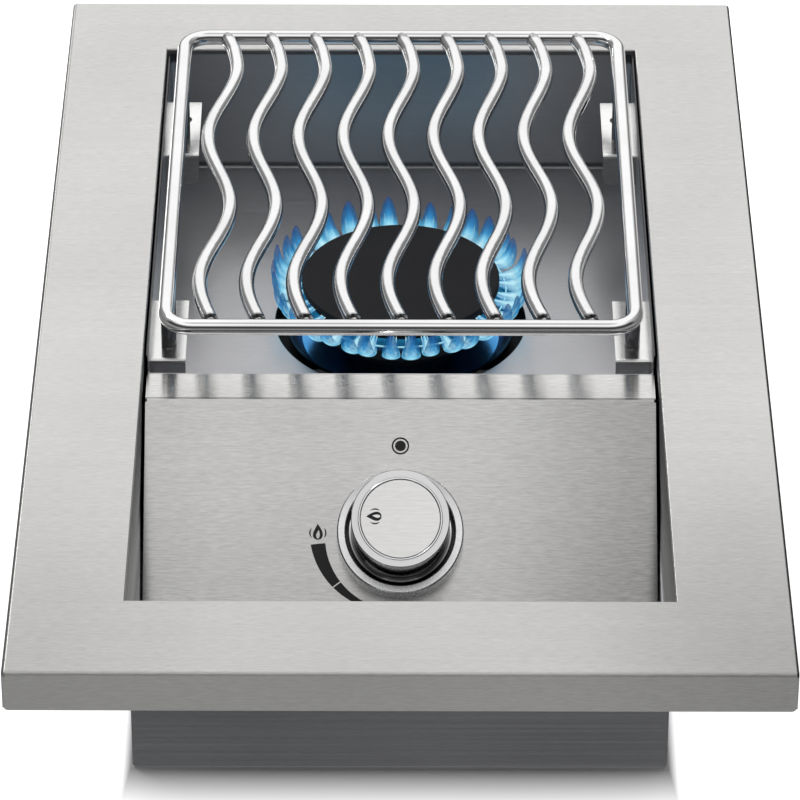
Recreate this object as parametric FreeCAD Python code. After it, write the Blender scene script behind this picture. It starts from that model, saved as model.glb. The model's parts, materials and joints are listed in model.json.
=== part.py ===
"""Built-in side burner: a drop-in single gas burner with an inclined control panel.

Millimetres. X runs along the width, Y from the front edge to the back, Z up. The origin is on the
tub's underside, below the middle of the trim frame. Depths named "from the front" are measured back
from the trim frame's front edge; heights named "below the trim" are measured down from its top face.
"""
import FreeCAD, Part
import math
import os

os.makedirs("parts", exist_ok=True)
Vec = FreeCAD.Vector

# Overall sizes of the trim frame and the tub
overall_width = 360.0
overall_depth = 610.0
tub_height = 122.0

# Trim frame
trim_sheet = 1.2
front_band = 55.6
rear_band = 50.6
side_band = 53.4
lip_drop = 21.2
lip_corner_radius = 3.0
trim_fold_radius = 2.0
opening_edge_radius = 1.0

# Tub
tub_sheet = 1.0
tub_rim = 14.0
tub_fold_radius = 1.6
front_step_below_trim = 42.0
lower_front_from_front = 86.5
vent_slot_length = 36.0
vent_slot_width = 5.0
vent_slot_pitch = 16.0
vent_slot_count = 6
vent_bank_half_spacing = 62.0
vent_last_from_rear = 33.4
rear_vent_count = 7
rear_vent_height = 22.0
rear_vent_pitch = 18.0
rear_vent_centre_height = 66.0

# Bowl: the stainless pan around the burner
bowl_sheet = 0.8
bowl_side_gap = 1.0
bowl_top_below_trim = 3.0
bowl_floor_below_trim = 74.0
bowl_fold_radius = 2.8
bowl_front_from_front = 262.0
bowl_hole_radius = 65.2
bowl_hole_lip = 4.5
bowl_hole_edge_radius = 0.7
riser_below_ledge = 1.0

# Control panel: a bent sheet with a ledge, an inclined face and a foot flange
panel_sheet = 1.0
panel_side_gap = 1.5
panel_angle = 43.0
ledge_below_trim = 12.0
fold_from_front = 238.0
ledge_down_flange = 12.0
foot_flange = 14.0
panel_fold_radius = 1.8
fold_relief = 0.8
knob_down_panel = 68.5

# Grid brackets
bracket_sheet = 1.2
bracket_depth = 54.4
bracket_reach = 17.7
bracket_drop = 18.0
bracket_top_below_trim = 17.0
bracket_corner_radius = 4.0
bracket_fold_radius = 2.0
front_bracket_from_front = 280.5
rear_bracket_from_rear = 28.0
bracket_hole_radius = 3.9
bracket_hole_from_edge = 36.2

# Cooking grid of round rod
rod_diameter = 7.94
wave_rod_diameter = 7.7
grid_height_above_trim = 15.5
grid_bar_from_wall = 9.1
grid_front_from_front = 260.8
grid_rear_from_opening = 14.4
grid_corner_radius = 13.0
wave_rod_count = 9
outer_rod_inset = 22.1
wave_count = 2
wave_amplitude = 6.6
rod_setback = 2.5
weld_diameter = 5.4
front_leg_from_front = 294.7
rear_leg_before_grid_rear = 55.2
leg_foot_chamfer = 0.6

# Burner
burner_from_front = 405.0
cap_radius = 51.5
cap_rim = 4.6
cap_top_below_trim = 46.0
cap_crown = 1.2
cap_edge_radius = 0.9
cap_locator_wall = 1.4
cap_locator_depth = 3.0
locator_clearance = 0.4
head_radius = 47.0
head_bore_radius = 38.0
head_height = 7.6
port_count = 36
port_width = 2.4
port_depth = 4.6
head_spigot_wall = 3.0
head_spigot_depth = 3.0
spigot_clearance = 0.3
base_radius = 49.5
base_skirt_height = 9.0
base_wall = 3.0
base_neck_radius = 20.0
base_shoulder_radius = 30.0
base_shoulder_height = 5.0
base_throat_radius = 13.0
base_bottom_height = 5.0
socket_wall = 3.2
socket_length = 14.0
socket_clearance = 0.05

# Dish and strap that carry the burner
dish_sheet = 0.8
dish_radius = 59.4
dish_rim = 1.2
dish_flat_radius = 52.0
dish_rim_below_bowl_floor = 2.2
dish_neck_clearance = 0.3
strap_sheet = 1.5
strap_width = 60.0
strap_height = 38.0
strap_half_span = 72.0
strap_foot = 12.0
electrode_tab_width = 16.0
electrode_tab_end = 64.0
burner_screw_offset = 24.0

# Venturi and air shutter
venturi_radius = 12.7
venturi_wall = 1.0
venturi_throat_radius = 9.6
venturi_height = 20.0
venturi_front_from_front = 264.0
venturi_end_plate = 1.2
jet_hole_radius = 7.0
air_window_width = 11.0
air_window_height = 13.0
shutter_clearance = 0.05
shutter_wall = 1.0
shutter_length = 19.0
shutter_setback = 3.0
lock_screw_radius = 2.0

# Gas valve, measured along the valve axis from the panel's outer face, outward positive
valve_plate_thickness = 4.0
valve_cover_thickness = 1.0
valve_screw_offset = 17.0
valve_ear_radius = 6.0
valve_barrel_radius = 12.0
valve_tail_radius = 9.5
valve_barrel_length = 42.0
valve_tail_length = 62.0
spring_chamber_radius = 7.6
plug_top = -14.0
plug_bottom = -39.0
plug_top_radius = 6.5
plug_bottom_radius = 5.0
plug_clearance = 0.05
plug_slot_depth = 7.5
gas_passage_radius = 2.5
gas_passage_run = 24.0
inlet_axis = -28.0
inlet_boss_radius = 7.0
inlet_boss_end = 26.0
outlet_boss_radius = 7.5
outlet_boss_from_front = 249.0
valve_screw_hole_depth = 12.0

# Valve stem and its return spring
stem_radius = 4.0
stem_clearance = 0.05
stem_top = 30.0
stem_flat = 3.0
stem_tang_half = 2.0
stem_tang_length = 4.0
stem_tip = -17.0
collar_radius = 6.5
collar_thickness = 1.5
collar_play = 0.1
push_travel = 3.2
spring_wire = 0.9
spring_mean_radius = 5.6
spring_turns = 5
spring_play = 0.2

# Jet
jet_hex_across_flats = 13.0
jet_hex_length = 6.0
jet_hood_radius = 5.0
jet_tip_radius = 3.6
jet_hood_length = 16.0
jet_bore_radius = 0.85

# Bezel and knob
bezel_radius = 31.0
bezel_top_radius = 30.7
bezel_bore_radius = 26.5
bezel_height = 14.0
bezel_floor = 1.2
bezel_edge = 0.6
stem_hole_radius = 6.2
knob_base_height = 11.0
knob_top_height = 44.0
knob_skirt_radius = 24.8
knob_skirt_height = 1.4
knob_body_radius = 23.2
knob_lip_radius = 23.75
knob_lip_height = 1.9
knob_bore_radius = 20.6
knob_crown = 3.4
knob_hub_radius = 8.0
knob_rim_width = 0.9
knob_rim_proud = 0.3
insert_radius = 19.3
insert_thickness = 1.0
insert_clearance = 0.05

# Ignition
module_radius = 6.5
module_length = 40.0
module_saddle = 8.0
electrode_offset = 54.0
ceramic_radius = 3.4
ceramic_collar_radius = 5.0
ceramic_collar_height = 3.0
ceramic_bottom_height = 26.0
ceramic_top_below_tip = 7.0
ceramic_hole_clearance = 0.1
electrode_radius = 1.0
electrode_tip_below_cap = 3.4
electrode_reach = 5.0
dish_notch_radius = 6.2

# Gas inlet: bulkhead union and hard supply pipe
inlet_from_side = 42.6
inlet_height = 24.0
inlet_pin_radius = 7.94
inlet_pin_length = 17.0
inlet_hex_across_flats = 22.0
inlet_hex_length = 8.0
inlet_inside_length = 22.0
inlet_socket_depth = 10.0
inlet_hole_clearance = 0.2
bulkhead_nut_thickness = 5.0
supply_pipe_radius = 4.75
supply_pipe_wall = 1.0
supply_bend_radius = 24.0
pipe_nut_across_flats = 16.0
pipe_nut_length = 13.0
supply_turn_from_front = 285.0

# Bowl stand-offs and screws
standoff_sheet = 1.2
standoff_width = 30.0
standoff_foot = 12.0
standoff_from_wall = 18.8
front_standoff_behind_bowl_front = 34.0
rear_standoff_from_rear = 39.4
screw_radius = 2.0
screw_head_radius = 3.8
screw_head_height = 2.4
screw_hole_clearance = 0.1
panel_screw_offset = 80.0
drive_recess_radius = 1.6
drive_recess_depth = 1.2
screw_tip_setback = 0.2

# Places worked out from the sizes above
front_y = -overall_depth / 2
opening_half = overall_width / 2 - side_band
opening_front = front_y + front_band
opening_rear = overall_depth / 2 - rear_band
trim_top = tub_height
rim_top = trim_top - trim_sheet
bowl_floor = trim_top - bowl_floor_below_trim
bowl_outer_half = opening_half - bowl_side_gap
bowl_inner_half = bowl_outer_half - bowl_sheet
bowl_front = front_y + bowl_front_from_front
ledge_top = trim_top - ledge_below_trim
fold_y = front_y + fold_from_front
panel_half = opening_half - panel_side_gap
panel_cos = math.cos(math.radians(panel_angle))
panel_sin = math.sin(math.radians(panel_angle))
bracket_top = trim_top - bracket_top_below_trim
rod_radius = rod_diameter / 2
wave_radius = wave_rod_diameter / 2
grid_z = trim_top + grid_height_above_trim
grid_half_width = bowl_inner_half - grid_bar_from_wall
wave_rod_pitch = 2 * (grid_half_width - outer_rod_inset) / (wave_rod_count - 1)
grid_front = front_y + grid_front_from_front
grid_rear = opening_rear - grid_rear_from_opening
burner_y = front_y + burner_from_front
cap_top = trim_top - cap_top_below_trim
cap_bottom = cap_top - cap_rim
head_bottom = cap_bottom - head_height
skirt_bottom = head_bottom - base_skirt_height
dish_seat = strap_height + dish_sheet
venturi_front = front_y + venturi_front_from_front
plate_back = -panel_sheet - valve_cover_thickness
collar_top = plate_back - collar_play
collar_bottom = collar_top - collar_thickness
vent_first = opening_rear - vent_last_from_rear - (vent_slot_count - 1) * vent_slot_pitch
front_bracket_y = front_y + front_bracket_from_front
rear_bracket_y = opening_rear - rear_bracket_from_rear - bracket_depth
electrode_tip = cap_bottom - electrode_tip_below_cap
ceramic_top = electrode_tip - ceramic_top_below_tip
inlet_offset = opening_half - inlet_from_side
standoff_offset = bowl_inner_half - standoff_from_wall
standoff_places = (bowl_front + front_standoff_behind_bowl_front, opening_rear - rear_standoff_from_rear)


def box(x0, x1, y0, y1, z0, z1):
    return Part.makeBox(x1 - x0, y1 - y0, z1 - z0, Vec(x0, y0, z0))


def rod(radius, start, end):
    axis = end - start
    return Part.makeCylinder(radius, axis.Length, start, axis)


def turned(profile):
    """Solid of revolution about Z from (radius, height) points."""
    points = [Vec(r, 0, z) for r, z in profile]
    wire = Part.makePolygon(points + points[:1])
    return Part.Face(wire).revolve(Vec(0, 0, 0), Vec(0, 0, 1), 360)


def slab(outline, half_width):
    """Prism along X from (y, z) outline points."""
    points = [Vec(-half_width, y, z) for y, z in outline]
    wire = Part.makePolygon(points + points[:1])
    return Part.Face(wire).extrude(Vec(2 * half_width, 0, 0))


def hexagon(across_flats, length, start, direction):
    """Hexagonal bar from a start point along a direction."""
    corner = across_flats / math.sqrt(3)
    points = [Vec(corner * math.cos(math.radians(60 * i)), corner * math.sin(math.radians(60 * i)), 0)
              for i in range(7)]
    bar = Part.Face(Part.makePolygon(points)).extrude(Vec(0, 0, length))
    bar.Placement = FreeCAD.Placement(start, FreeCAD.Rotation(Vec(0, 0, 1), direction))
    return bar


def fuse(first, *others):
    return first.fuse(list(others)).removeSplitter()


def cut(first, *others):
    return first.cut(list(others))


def edges_where(shape, test):
    """Straight edges whose middle point passes a test."""
    found = []
    for edge in shape.Edges:
        middle = edge.valueAt((edge.FirstParameter + edge.LastParameter) / 2)
        if test(middle, edge):
            found.append(edge)
    return found


def circles_at(shape, radius, height):
    """Full circles of one radius at one height."""
    found = []
    for edge in shape.Edges:
        if edge.Degenerated or abs(edge.Length - 2 * math.pi * radius) > 1e-4:
            continue
        if abs(edge.BoundBox.ZMin - height) < 1e-4 and abs(edge.BoundBox.ZMax - height) < 1e-4:
            found.append(edge)
    return found


def runs_along(edge, axis):
    direction = edge.tangentAt((edge.FirstParameter + edge.LastParameter) / 2)
    return abs(direction.dot(axis)) > 0.999


def valve_frame():
    """Placement of the knob and valve axis: local Z is the panel's outward normal."""
    origin = Vec(0, fold_y - knob_down_panel * panel_cos, ledge_top - knob_down_panel * panel_sin)
    return FreeCAD.Placement(origin, FreeCAD.Rotation(Vec(1, 0, 0), panel_angle))


def on_panel(shape):
    shape.Placement = valve_frame().multiply(shape.Placement)
    return shape


def bar_between(start, end, radius):
    return Part.makeCylinder(radius, (end - start).Length, start, end - start)


def bar_bend(start, centre, axis, radius, degrees):
    """Quarter or part turn of round bar that starts at a point and swings about an axis."""
    along = axis.cross(start - centre)
    disc = Part.Face(Part.Wire(Part.makeCircle(radius, start, along)))
    return disc.revolve(centre, axis, degrees)


def bent_bar(points, bend_radius, radius, closed=False):
    """Round bar along straight runs joined by tangent bends."""
    corners = list(zip(points, points[1:], points[2:]))
    if closed:
        ring = points + points[:2]
        corners = list(zip(ring, ring[1:], ring[2:]))
    pieces = []
    ends = []
    for before, corner, after in corners:
        inward = (before - corner).normalize()
        outward = (after - corner).normalize()
        half_angle = inward.getAngle(outward) / 2
        trim = bend_radius / math.tan(half_angle)
        centre = corner + (inward + outward).normalize() * (bend_radius / math.sin(half_angle))
        first = corner + inward * trim
        axis = (first - centre).cross(-inward).normalize()
        pieces.append(bar_bend(first, centre, axis, radius, 180 - 2 * math.degrees(half_angle)))
        ends.append((first, corner + outward * trim))
    starts = [points[0]] + [last for first, last in ends]
    stops = [first for first, last in ends] + [points[-1]]
    if closed:
        starts = [last for first, last in ends]
        stops = [first for first, last in ends[1:] + ends[:1]]
    for start, stop in zip(starts, stops):
        pieces.append(bar_between(start, stop, radius))
    return fuse(*pieces)


def screw(seat, direction, length):
    """Pan-head screw: its head stands on the seat and its shank runs along the direction."""
    head = turned([(0, drive_recess_depth), (drive_recess_radius, drive_recess_depth),
                   (drive_recess_radius, 0), (screw_head_radius * 0.75, 0),
                   (screw_head_radius, screw_head_height * 0.55), (screw_head_radius, screw_head_height),
                   (screw_radius, screw_head_height), (screw_radius, screw_head_height + length),
                   (0, screw_head_height + length)])
    head.Placement = FreeCAD.Placement(seat - direction * screw_head_height,
                                       FreeCAD.Rotation(Vec(0, 0, 1), direction))
    return head


def screw_hole(seat, direction, depth):
    return rod(screw_radius + screw_hole_clearance, seat - direction * depth, seat + direction * depth)


def panel_point(x, y, z):
    """Point given in valve coordinates."""
    return valve_frame().multVec(Vec(x, y, z))


def panel_direction(x, y, z):
    return valve_frame().Rotation.multVec(Vec(x, y, z))


def export(name, shape):
    if isinstance(shape, list):
        shape = Part.makeCompound(shape)
    for solid in shape.Solids:
        if not solid.isValid() or solid.Volume <= 0:
            raise ValueError(name + " has a bad solid")
    shape.exportStep("parts/" + name + ".step")
    box_of = shape.optimalBoundingBox(False)
    print("%-28s solids %2d faces %4d volume %10.1f  x %7.1f %7.1f y %7.1f %7.1f z %6.1f %6.1f" % (
        name, len(shape.Solids), len(shape.Faces), shape.Volume,
        box_of.XMin, box_of.XMax, box_of.YMin, box_of.YMax, box_of.ZMin, box_of.ZMax))
    return shape


# Trim frame
def make_trim_frame():
    half = overall_width / 2
    back_y = overall_depth / 2
    bottom = trim_top - lip_drop
    outer = box(-half, half, front_y, back_y, bottom, trim_top)
    upper = edges_where(outer, lambda m, e: m.z > bottom + 0.1)
    outer = outer.makeFillet(trim_fold_radius, upper)
    inner = box(-half + trim_sheet, half - trim_sheet, front_y + trim_sheet, back_y - trim_sheet,
                bottom - 1, rim_top)
    inner_upper = edges_where(inner, lambda m, e: m.z > bottom + 0.1)
    inner = inner.makeFillet(trim_fold_radius - trim_sheet, inner_upper)
    opening = box(-opening_half, opening_half, opening_front, opening_rear, bottom, trim_top + 1)
    frame = cut(outer, inner, opening)
    top_edges = edges_where(frame, lambda m, e: abs(m.z - trim_top) < 1e-6 and abs(m.x) < opening_half + 1
                            and opening_front - 1 < m.y < opening_rear + 1)
    frame = frame.makeFillet(opening_edge_radius, top_edges)
    r = lip_corner_radius
    cutters = []
    for sx in (-1, 1):
        for sy in (-1, 1):
            x, y = sx * (half - r), sy * (back_y - r)
            block = box(min(x, sx * half), max(x, sx * half), min(y, sy * back_y), max(y, sy * back_y),
                        bottom, bottom + r)
            across = cut(block, rod(r, Vec(x, y - r, bottom + r), Vec(x, y + r, bottom + r)))
            along = cut(block, rod(r, Vec(x - r, y, bottom + r), Vec(x + r, y, bottom + r)))
            cutters.append(across.common(along))
    return cut(frame, *cutters)


# Tub
def make_tub():
    outer_half = opening_half + tub_sheet
    low_front = front_y + lower_front_from_front
    step = trim_top - front_step_below_trim
    t = tub_sheet
    outer = slab([(opening_front - t, rim_top), (opening_rear + t, rim_top), (opening_rear + t, 0),
                  (low_front, 0), (low_front, step - t), (opening_front - t, step - t)], outer_half)
    outer_bends = edges_where(outer, lambda m, e: m.z < rim_top - 0.1)
    outer = outer.makeFillet(tub_fold_radius, outer_bends)
    inner = slab([(opening_front, rim_top), (opening_rear, rim_top), (opening_rear, t),
                  (low_front + t, t), (low_front + t, step), (opening_front, step)], opening_half)
    inner_bends = edges_where(inner, lambda m, e: m.z < rim_top - 0.1)
    inner = inner.makeFillet(tub_fold_radius - t, inner_bends)
    rim = box(-opening_half - tub_rim, opening_half + tub_rim, opening_front - tub_rim, opening_rear + tub_rim,
              rim_top - t, rim_top)
    shell = cut(fuse(outer, rim), inner.fuse(box(-opening_half, opening_half, opening_front, opening_rear,
                                                 rim_top - t - 1, rim_top + 1)))
    cutters = []
    for sx in (-1, 1):
        for i in range(vent_slot_count):
            y = vent_first + i * vent_slot_pitch
            cutters.append(rounded_slot(sx * vent_bank_half_spacing, y, vent_slot_length, vent_slot_width))
    for i in range(rear_vent_count):
        x = (i - (rear_vent_count - 1) / 2) * rear_vent_pitch
        z = rear_vent_centre_height
        half = rear_vent_height / 2 - vent_slot_width / 2
        cutters.append(box(x - vent_slot_width / 2, x + vent_slot_width / 2, opening_rear - 1, opening_rear + t + 1,
                           z - half, z + half))
        for sz in (-1, 1):
            cutters.append(rod(vent_slot_width / 2, Vec(x, opening_rear - 1, z + sz * half),
                               Vec(x, opening_rear + t + 1, z + sz * half)))
    cutters.append(rod(inlet_pin_radius + inlet_hole_clearance, Vec(inlet_offset, opening_rear - 1, inlet_height),
                       Vec(inlet_offset, opening_rear + t + 1, inlet_height)))
    for x in (-panel_screw_offset, panel_screw_offset):
        cutters.append(screw_hole(foot_screw_seat(x), Vec(0, 0, -1), panel_sheet + tub_sheet + 1))
    return cut(shell, *cutters)


def rounded_slot(x, y, length, width):
    """Cutter for a slot through the tub floor, along X."""
    half = (length - width) / 2
    cutter = box(x - half, x + half, y - width / 2, y + width / 2, -1, tub_sheet + 1)
    ends = [Part.makeCylinder(width / 2, tub_sheet + 2, Vec(x + s * half, y, -1)) for s in (-1, 1)]
    return cutter.fuse(ends)


def panel_foot_y():
    """Front-back place where the inclined face meets the foot flange."""
    return fold_y - (ledge_top - panel_sheet - tub_sheet) / math.tan(math.radians(panel_angle))


def foot_screw_seat(x):
    return Vec(x, panel_foot_y() - foot_flange / 2, tub_sheet + panel_sheet)


def ledge_screw_seat(x):
    return Vec(x, bowl_front - panel_sheet, ledge_top - ledge_down_flange / 2 - panel_sheet / 2)


# Bowl
def make_bowl():
    t = bowl_sheet
    top = trim_top - bowl_top_below_trim
    under = bowl_floor - t
    rear_y = opening_rear
    outer = box(-bowl_outer_half, bowl_outer_half, bowl_front, rear_y, under, top)
    outer = outer.makeFillet(bowl_fold_radius, edges_where(outer, lambda m, e: m.z < top - 0.1))
    inner = box(-bowl_inner_half, bowl_inner_half, bowl_front + t, rear_y - t, bowl_floor, top + 1)
    inner = inner.makeFillet(bowl_fold_radius - t, edges_where(inner, lambda m, e: m.z < top - 0.1))
    pan = cut(outer, inner)
    riser_top = ledge_top - riser_below_ledge
    pan = cut(pan, box(-bowl_inner_half - 0.01, bowl_inner_half + 0.01, bowl_front - 1, bowl_front + bowl_fold_radius,
                       riser_top, top + 1))
    hole = Part.makeCylinder(bowl_hole_radius + t, 4 * t, Vec(0, burner_y, under - t))
    lip = turned([(bowl_hole_radius, bowl_floor - bowl_hole_lip), (bowl_hole_radius + t, bowl_floor - bowl_hole_lip),
                  (bowl_hole_radius + t, bowl_floor), (bowl_hole_radius, bowl_floor)])
    lip.translate(Vec(0, burner_y, 0))
    pan = fuse(cut(pan, hole), lip)
    pan = pan.makeFillet(bowl_hole_edge_radius, circles_at(pan, bowl_hole_radius, bowl_floor))
    holes = [screw_hole(ledge_screw_seat(x), Vec(0, 1, 0), panel_sheet + t + 1)
             for x in (-panel_screw_offset, panel_screw_offset)]
    return cut(pan, *holes)


# Control panel
def sheet_outline(path, thickness):
    """Closed outline of a bent sheet: the path is its outer side, the sheet lies on the path's right."""
    inner = []
    count = len(path)
    for i, point in enumerate(path):
        before = path[max(i - 1, 0)]
        after = path[min(i + 1, count - 1)]
        first = unit(before, point) if i > 0 else unit(point, after)
        second = unit(point, after) if i < count - 1 else first
        normal_a = (first[1], -first[0])
        normal_b = (second[1], -second[0])
        bisect = (normal_a[0] + normal_b[0], normal_a[1] + normal_b[1])
        scale = 2 * thickness / (bisect[0] ** 2 + bisect[1] ** 2)
        inner.append((point[0] + bisect[0] * scale, point[1] + bisect[1] * scale))
    return list(path) + inner[::-1], inner


def unit(a, b):
    length = math.hypot(b[0] - a[0], b[1] - a[1])
    return ((b[0] - a[0]) / length, (b[1] - a[1]) / length)


def make_control_panel():
    foot_top = tub_sheet + panel_sheet
    foot_y = panel_foot_y()
    path = [(foot_y - foot_flange, foot_top), (foot_y, foot_top), (fold_y, ledge_top), (bowl_front, ledge_top),
            (bowl_front, ledge_top - ledge_down_flange)]
    outline, inner = sheet_outline(path, panel_sheet)
    panel = slab(outline, panel_half)
    outer_folds = edges_where(panel, lambda m, e: runs_along(e, Vec(1, 0, 0))
                              and any(abs(m.y - y) + abs(m.z - z) < 1e-4 for y, z in path[2:4]))
    panel = panel.makeFillet(panel_fold_radius, outer_folds)
    inner_folds = edges_where(panel, lambda m, e: runs_along(e, Vec(1, 0, 0))
                              and any(abs(m.y - y) + abs(m.z - z) < 1e-4 for y, z in inner[2:4]))
    panel = panel.makeFillet(panel_fold_radius - panel_sheet, inner_folds)
    cutters = [on_panel(Part.makeCylinder(stem_hole_radius, 6, Vec(0, 0, -3)))]
    for s in (-1, 1):
        seat = panel_point(s * valve_screw_offset, 0, 0)
        cutters.append(screw_hole(seat, panel_direction(0, 0, -1), 3))
        cutters.append(box(s * panel_half - fold_relief, s * panel_half + fold_relief, fold_y - fold_relief,
                           fold_y + fold_relief, ledge_top - 2 * fold_relief, ledge_top + 1))
    for x in (-panel_screw_offset, panel_screw_offset):
        cutters.append(screw_hole(foot_screw_seat(x), Vec(0, 0, -1), panel_sheet + 0.5))
        cutters.append(screw_hole(ledge_screw_seat(x), Vec(0, 1, 0), panel_sheet + 0.5))
    return cut(panel, *cutters)


# Grid brackets
def make_bracket(side, y0):
    """Bracket on the bowl's left (side -1) or right (side 1) wall."""
    t = bracket_sheet
    wall = bowl_inner_half
    reach = bracket_reach
    y1 = y0 + bracket_depth
    low = bracket_top - bracket_drop
    plate = box(wall - reach, wall, y0, y1, bracket_top - t, bracket_top)
    front = box(wall - reach, wall, y0, y0 + t, low, bracket_top)
    back = box(wall - t, wall, y0, y1, low, bracket_top)
    body = fuse(plate, front, back)
    inner_corner = edges_where(body, lambda m, e: runs_along(e, Vec(0, 1, 0)) and abs(m.z - low) < 1e-6
                               and abs(m.x - wall + reach) < 1e-6)
    body = body.makeFillet(bracket_corner_radius, inner_corner)
    fold = edges_where(body, lambda m, e: runs_along(e, Vec(1, 0, 0)) and abs(m.z - bracket_top) < 1e-6
                       and abs(m.y - y0) < 1e-6)
    body = body.makeFillet(bracket_fold_radius, fold)
    hole = Part.makeCylinder(bracket_hole_radius, 4 * t,
                             Vec(grid_half_width, y0 + bracket_hole_from_edge, bracket_top - 2 * t))
    body = cut(body, hole)
    if side < 0:
        body = body.mirror(Vec(0, 0, 0), Vec(1, 0, 0))
    return body


# Cooking grid
def make_grid_frame():
    w = grid_half_width
    corners = [Vec(w, grid_front, grid_z), Vec(w, grid_rear, grid_z), Vec(-w, grid_rear, grid_z),
               Vec(-w, grid_front, grid_z)]
    return bent_bar(corners, grid_corner_radius, rod_radius, closed=True)


def wave_path(y0, y1):
    """Sine periods between two depths on the middle plane, as a smooth curve."""
    count = 8 * wave_count
    points = []
    for i in range(count + 1):
        share = i / count
        x = -wave_amplitude * math.sin(2 * math.pi * wave_count * share)
        points.append(Vec(x, y0 + (y1 - y0) * share, grid_z))
    slope = wave_amplitude * 2 * math.pi * wave_count / (y1 - y0)
    tangent = Vec(-slope, 1, 0).normalize()
    curve = Part.BSplineCurve()
    curve.interpolate(Points=points, InitialTangent=tangent, FinalTangent=tangent)
    return Part.Wire([curve.toShape()]), tangent


def make_wave_rods(frame):
    front = grid_front + rod_radius + rod_setback
    path, tangent = wave_path(front, grid_rear)
    section = Part.Wire(Part.makeCircle(wave_radius, Vec(0, front, grid_z), tangent))
    bar = path.makePipeShell([section], True, False)
    weld = rod(weld_diameter / 2, Vec(0, grid_front, grid_z), Vec(0, front + weld_diameter / 2, grid_z))
    whole = fuse(bar, weld).cut(frame)
    middle = max(whole.Solids, key=lambda s: s.Volume)
    half = (wave_rod_count - 1) / 2
    return [middle.translated(Vec((i - half) * wave_rod_pitch, 0, 0)) for i in range(wave_rod_count)]


def make_grid_legs(frame):
    front_leg = front_y + front_leg_from_front
    rear_leg = grid_rear - rear_leg_before_grid_rear
    leg = Part.makeCylinder(wave_radius, grid_z - bracket_top, Vec(grid_half_width, front_leg, bracket_top))
    leg = leg.makeChamfer(leg_foot_chamfer, circles_at(leg, wave_radius, bracket_top)).cut(frame)
    leg = max(leg.Solids, key=lambda s: s.Volume)
    legs = []
    for x in (-2 * grid_half_width, 0):
        for y in (0, rear_leg - front_leg):
            legs.append(leg.translated(Vec(x, y, 0)))
    return legs


# Burner
def make_burner_cap():
    locator = head_bore_radius - locator_clearance
    cap = turned([(0, cap_bottom), (locator - cap_locator_wall, cap_bottom),
                  (locator - cap_locator_wall, cap_bottom - cap_locator_depth),
                  (locator, cap_bottom - cap_locator_depth), (locator, cap_bottom), (cap_radius, cap_bottom),
                  (cap_radius, cap_top - cap_crown), (0, cap_top)])
    cap = cap.makeFillet(cap_edge_radius, circles_at(cap, cap_radius, cap_top - cap_crown))
    cap.translate(Vec(0, burner_y, 0))
    return cap


def make_burner_head():
    spigot = base_radius - base_wall - spigot_clearance
    head = turned([(head_bore_radius, head_bottom), (spigot - head_spigot_wall, head_bottom),
                   (spigot - head_spigot_wall, head_bottom - head_spigot_depth),
                   (spigot, head_bottom - head_spigot_depth), (spigot, head_bottom), (head_radius, head_bottom),
                   (head_radius, cap_bottom), (head_bore_radius, cap_bottom)])
    ports = []
    for i in range(port_count):
        port = box(head_bore_radius - 1, head_radius + 1, -port_width / 2, port_width / 2,
                   cap_bottom - port_depth, cap_bottom + 1)
        port.rotate(Vec(0, 0, 0), Vec(0, 0, 1), 360.0 / port_count * (i + 0.5))
        ports.append(port)
    head = cut(head, *ports)
    head.translate(Vec(0, burner_y, 0))
    return head


def make_burner_base():
    shoulder_top = dish_seat + base_shoulder_height
    bowl_of_base = turned([(0, base_bottom_height), (base_neck_radius, base_bottom_height),
                           (base_neck_radius, dish_seat), (base_shoulder_radius, dish_seat),
                           (base_shoulder_radius, shoulder_top), (base_radius, skirt_bottom),
                           (base_radius, head_bottom), (0, head_bottom)])
    cavity = turned([(0, base_bottom_height + base_wall), (base_throat_radius, base_bottom_height + base_wall),
                     (base_throat_radius, dish_seat + base_shoulder_height),
                     (base_radius - base_wall - 4, skirt_bottom + base_wall + 1),
                     (base_radius - base_wall, head_bottom - head_spigot_depth - 0.5),
                     (base_radius - base_wall, head_bottom), (0, head_bottom)])
    start = -base_neck_radius - socket_length
    socket = rod(venturi_radius + socket_wall, Vec(0, start, venturi_height), Vec(0, 0, venturi_height))
    base = fuse(bowl_of_base, socket)
    bore = rod(venturi_radius + socket_clearance, Vec(0, start - 1, venturi_height),
               Vec(0, -base_neck_radius, venturi_height))
    port = rod(venturi_radius - venturi_wall, Vec(0, start - 1, venturi_height), Vec(0, 0, venturi_height))
    base = cut(base, cavity, bore, port)
    base.translate(Vec(0, burner_y, 0))
    holes = [screw_hole(seat, Vec(0, 0, 1), strap_sheet + dish_sheet + base_shoulder_height - 1.5)
             for seat in burner_screw_seats()]
    return cut(base, *holes)


def burner_screw_seats():
    return [Vec(s * burner_screw_offset, burner_y, strap_height - strap_sheet) for s in (-1, 1)]


def make_dish():
    t = dish_sheet
    rim_z = bowl_floor - dish_rim_below_bowl_floor
    inner_r = base_neck_radius + dish_neck_clearance
    dish = turned([(inner_r, strap_height), (dish_flat_radius, strap_height), (dish_radius - dish_rim, rim_z - t),
                   (dish_radius, rim_z - t), (dish_radius, rim_z), (dish_radius - dish_rim, rim_z),
                   (dish_flat_radius - t / 2, strap_height + t), (inner_r, strap_height + t)])
    dish.translate(Vec(0, burner_y, 0))
    notch = Part.makeCylinder(dish_notch_radius, 3 * dish_notch_radius,
                              Vec(0, burner_y + electrode_offset, strap_height - dish_notch_radius))
    holes = [screw_hole(seat, Vec(0, 0, 1), strap_sheet + dish_sheet + 1) for seat in burner_screw_seats()]
    return cut(dish, notch, *holes)


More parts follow.
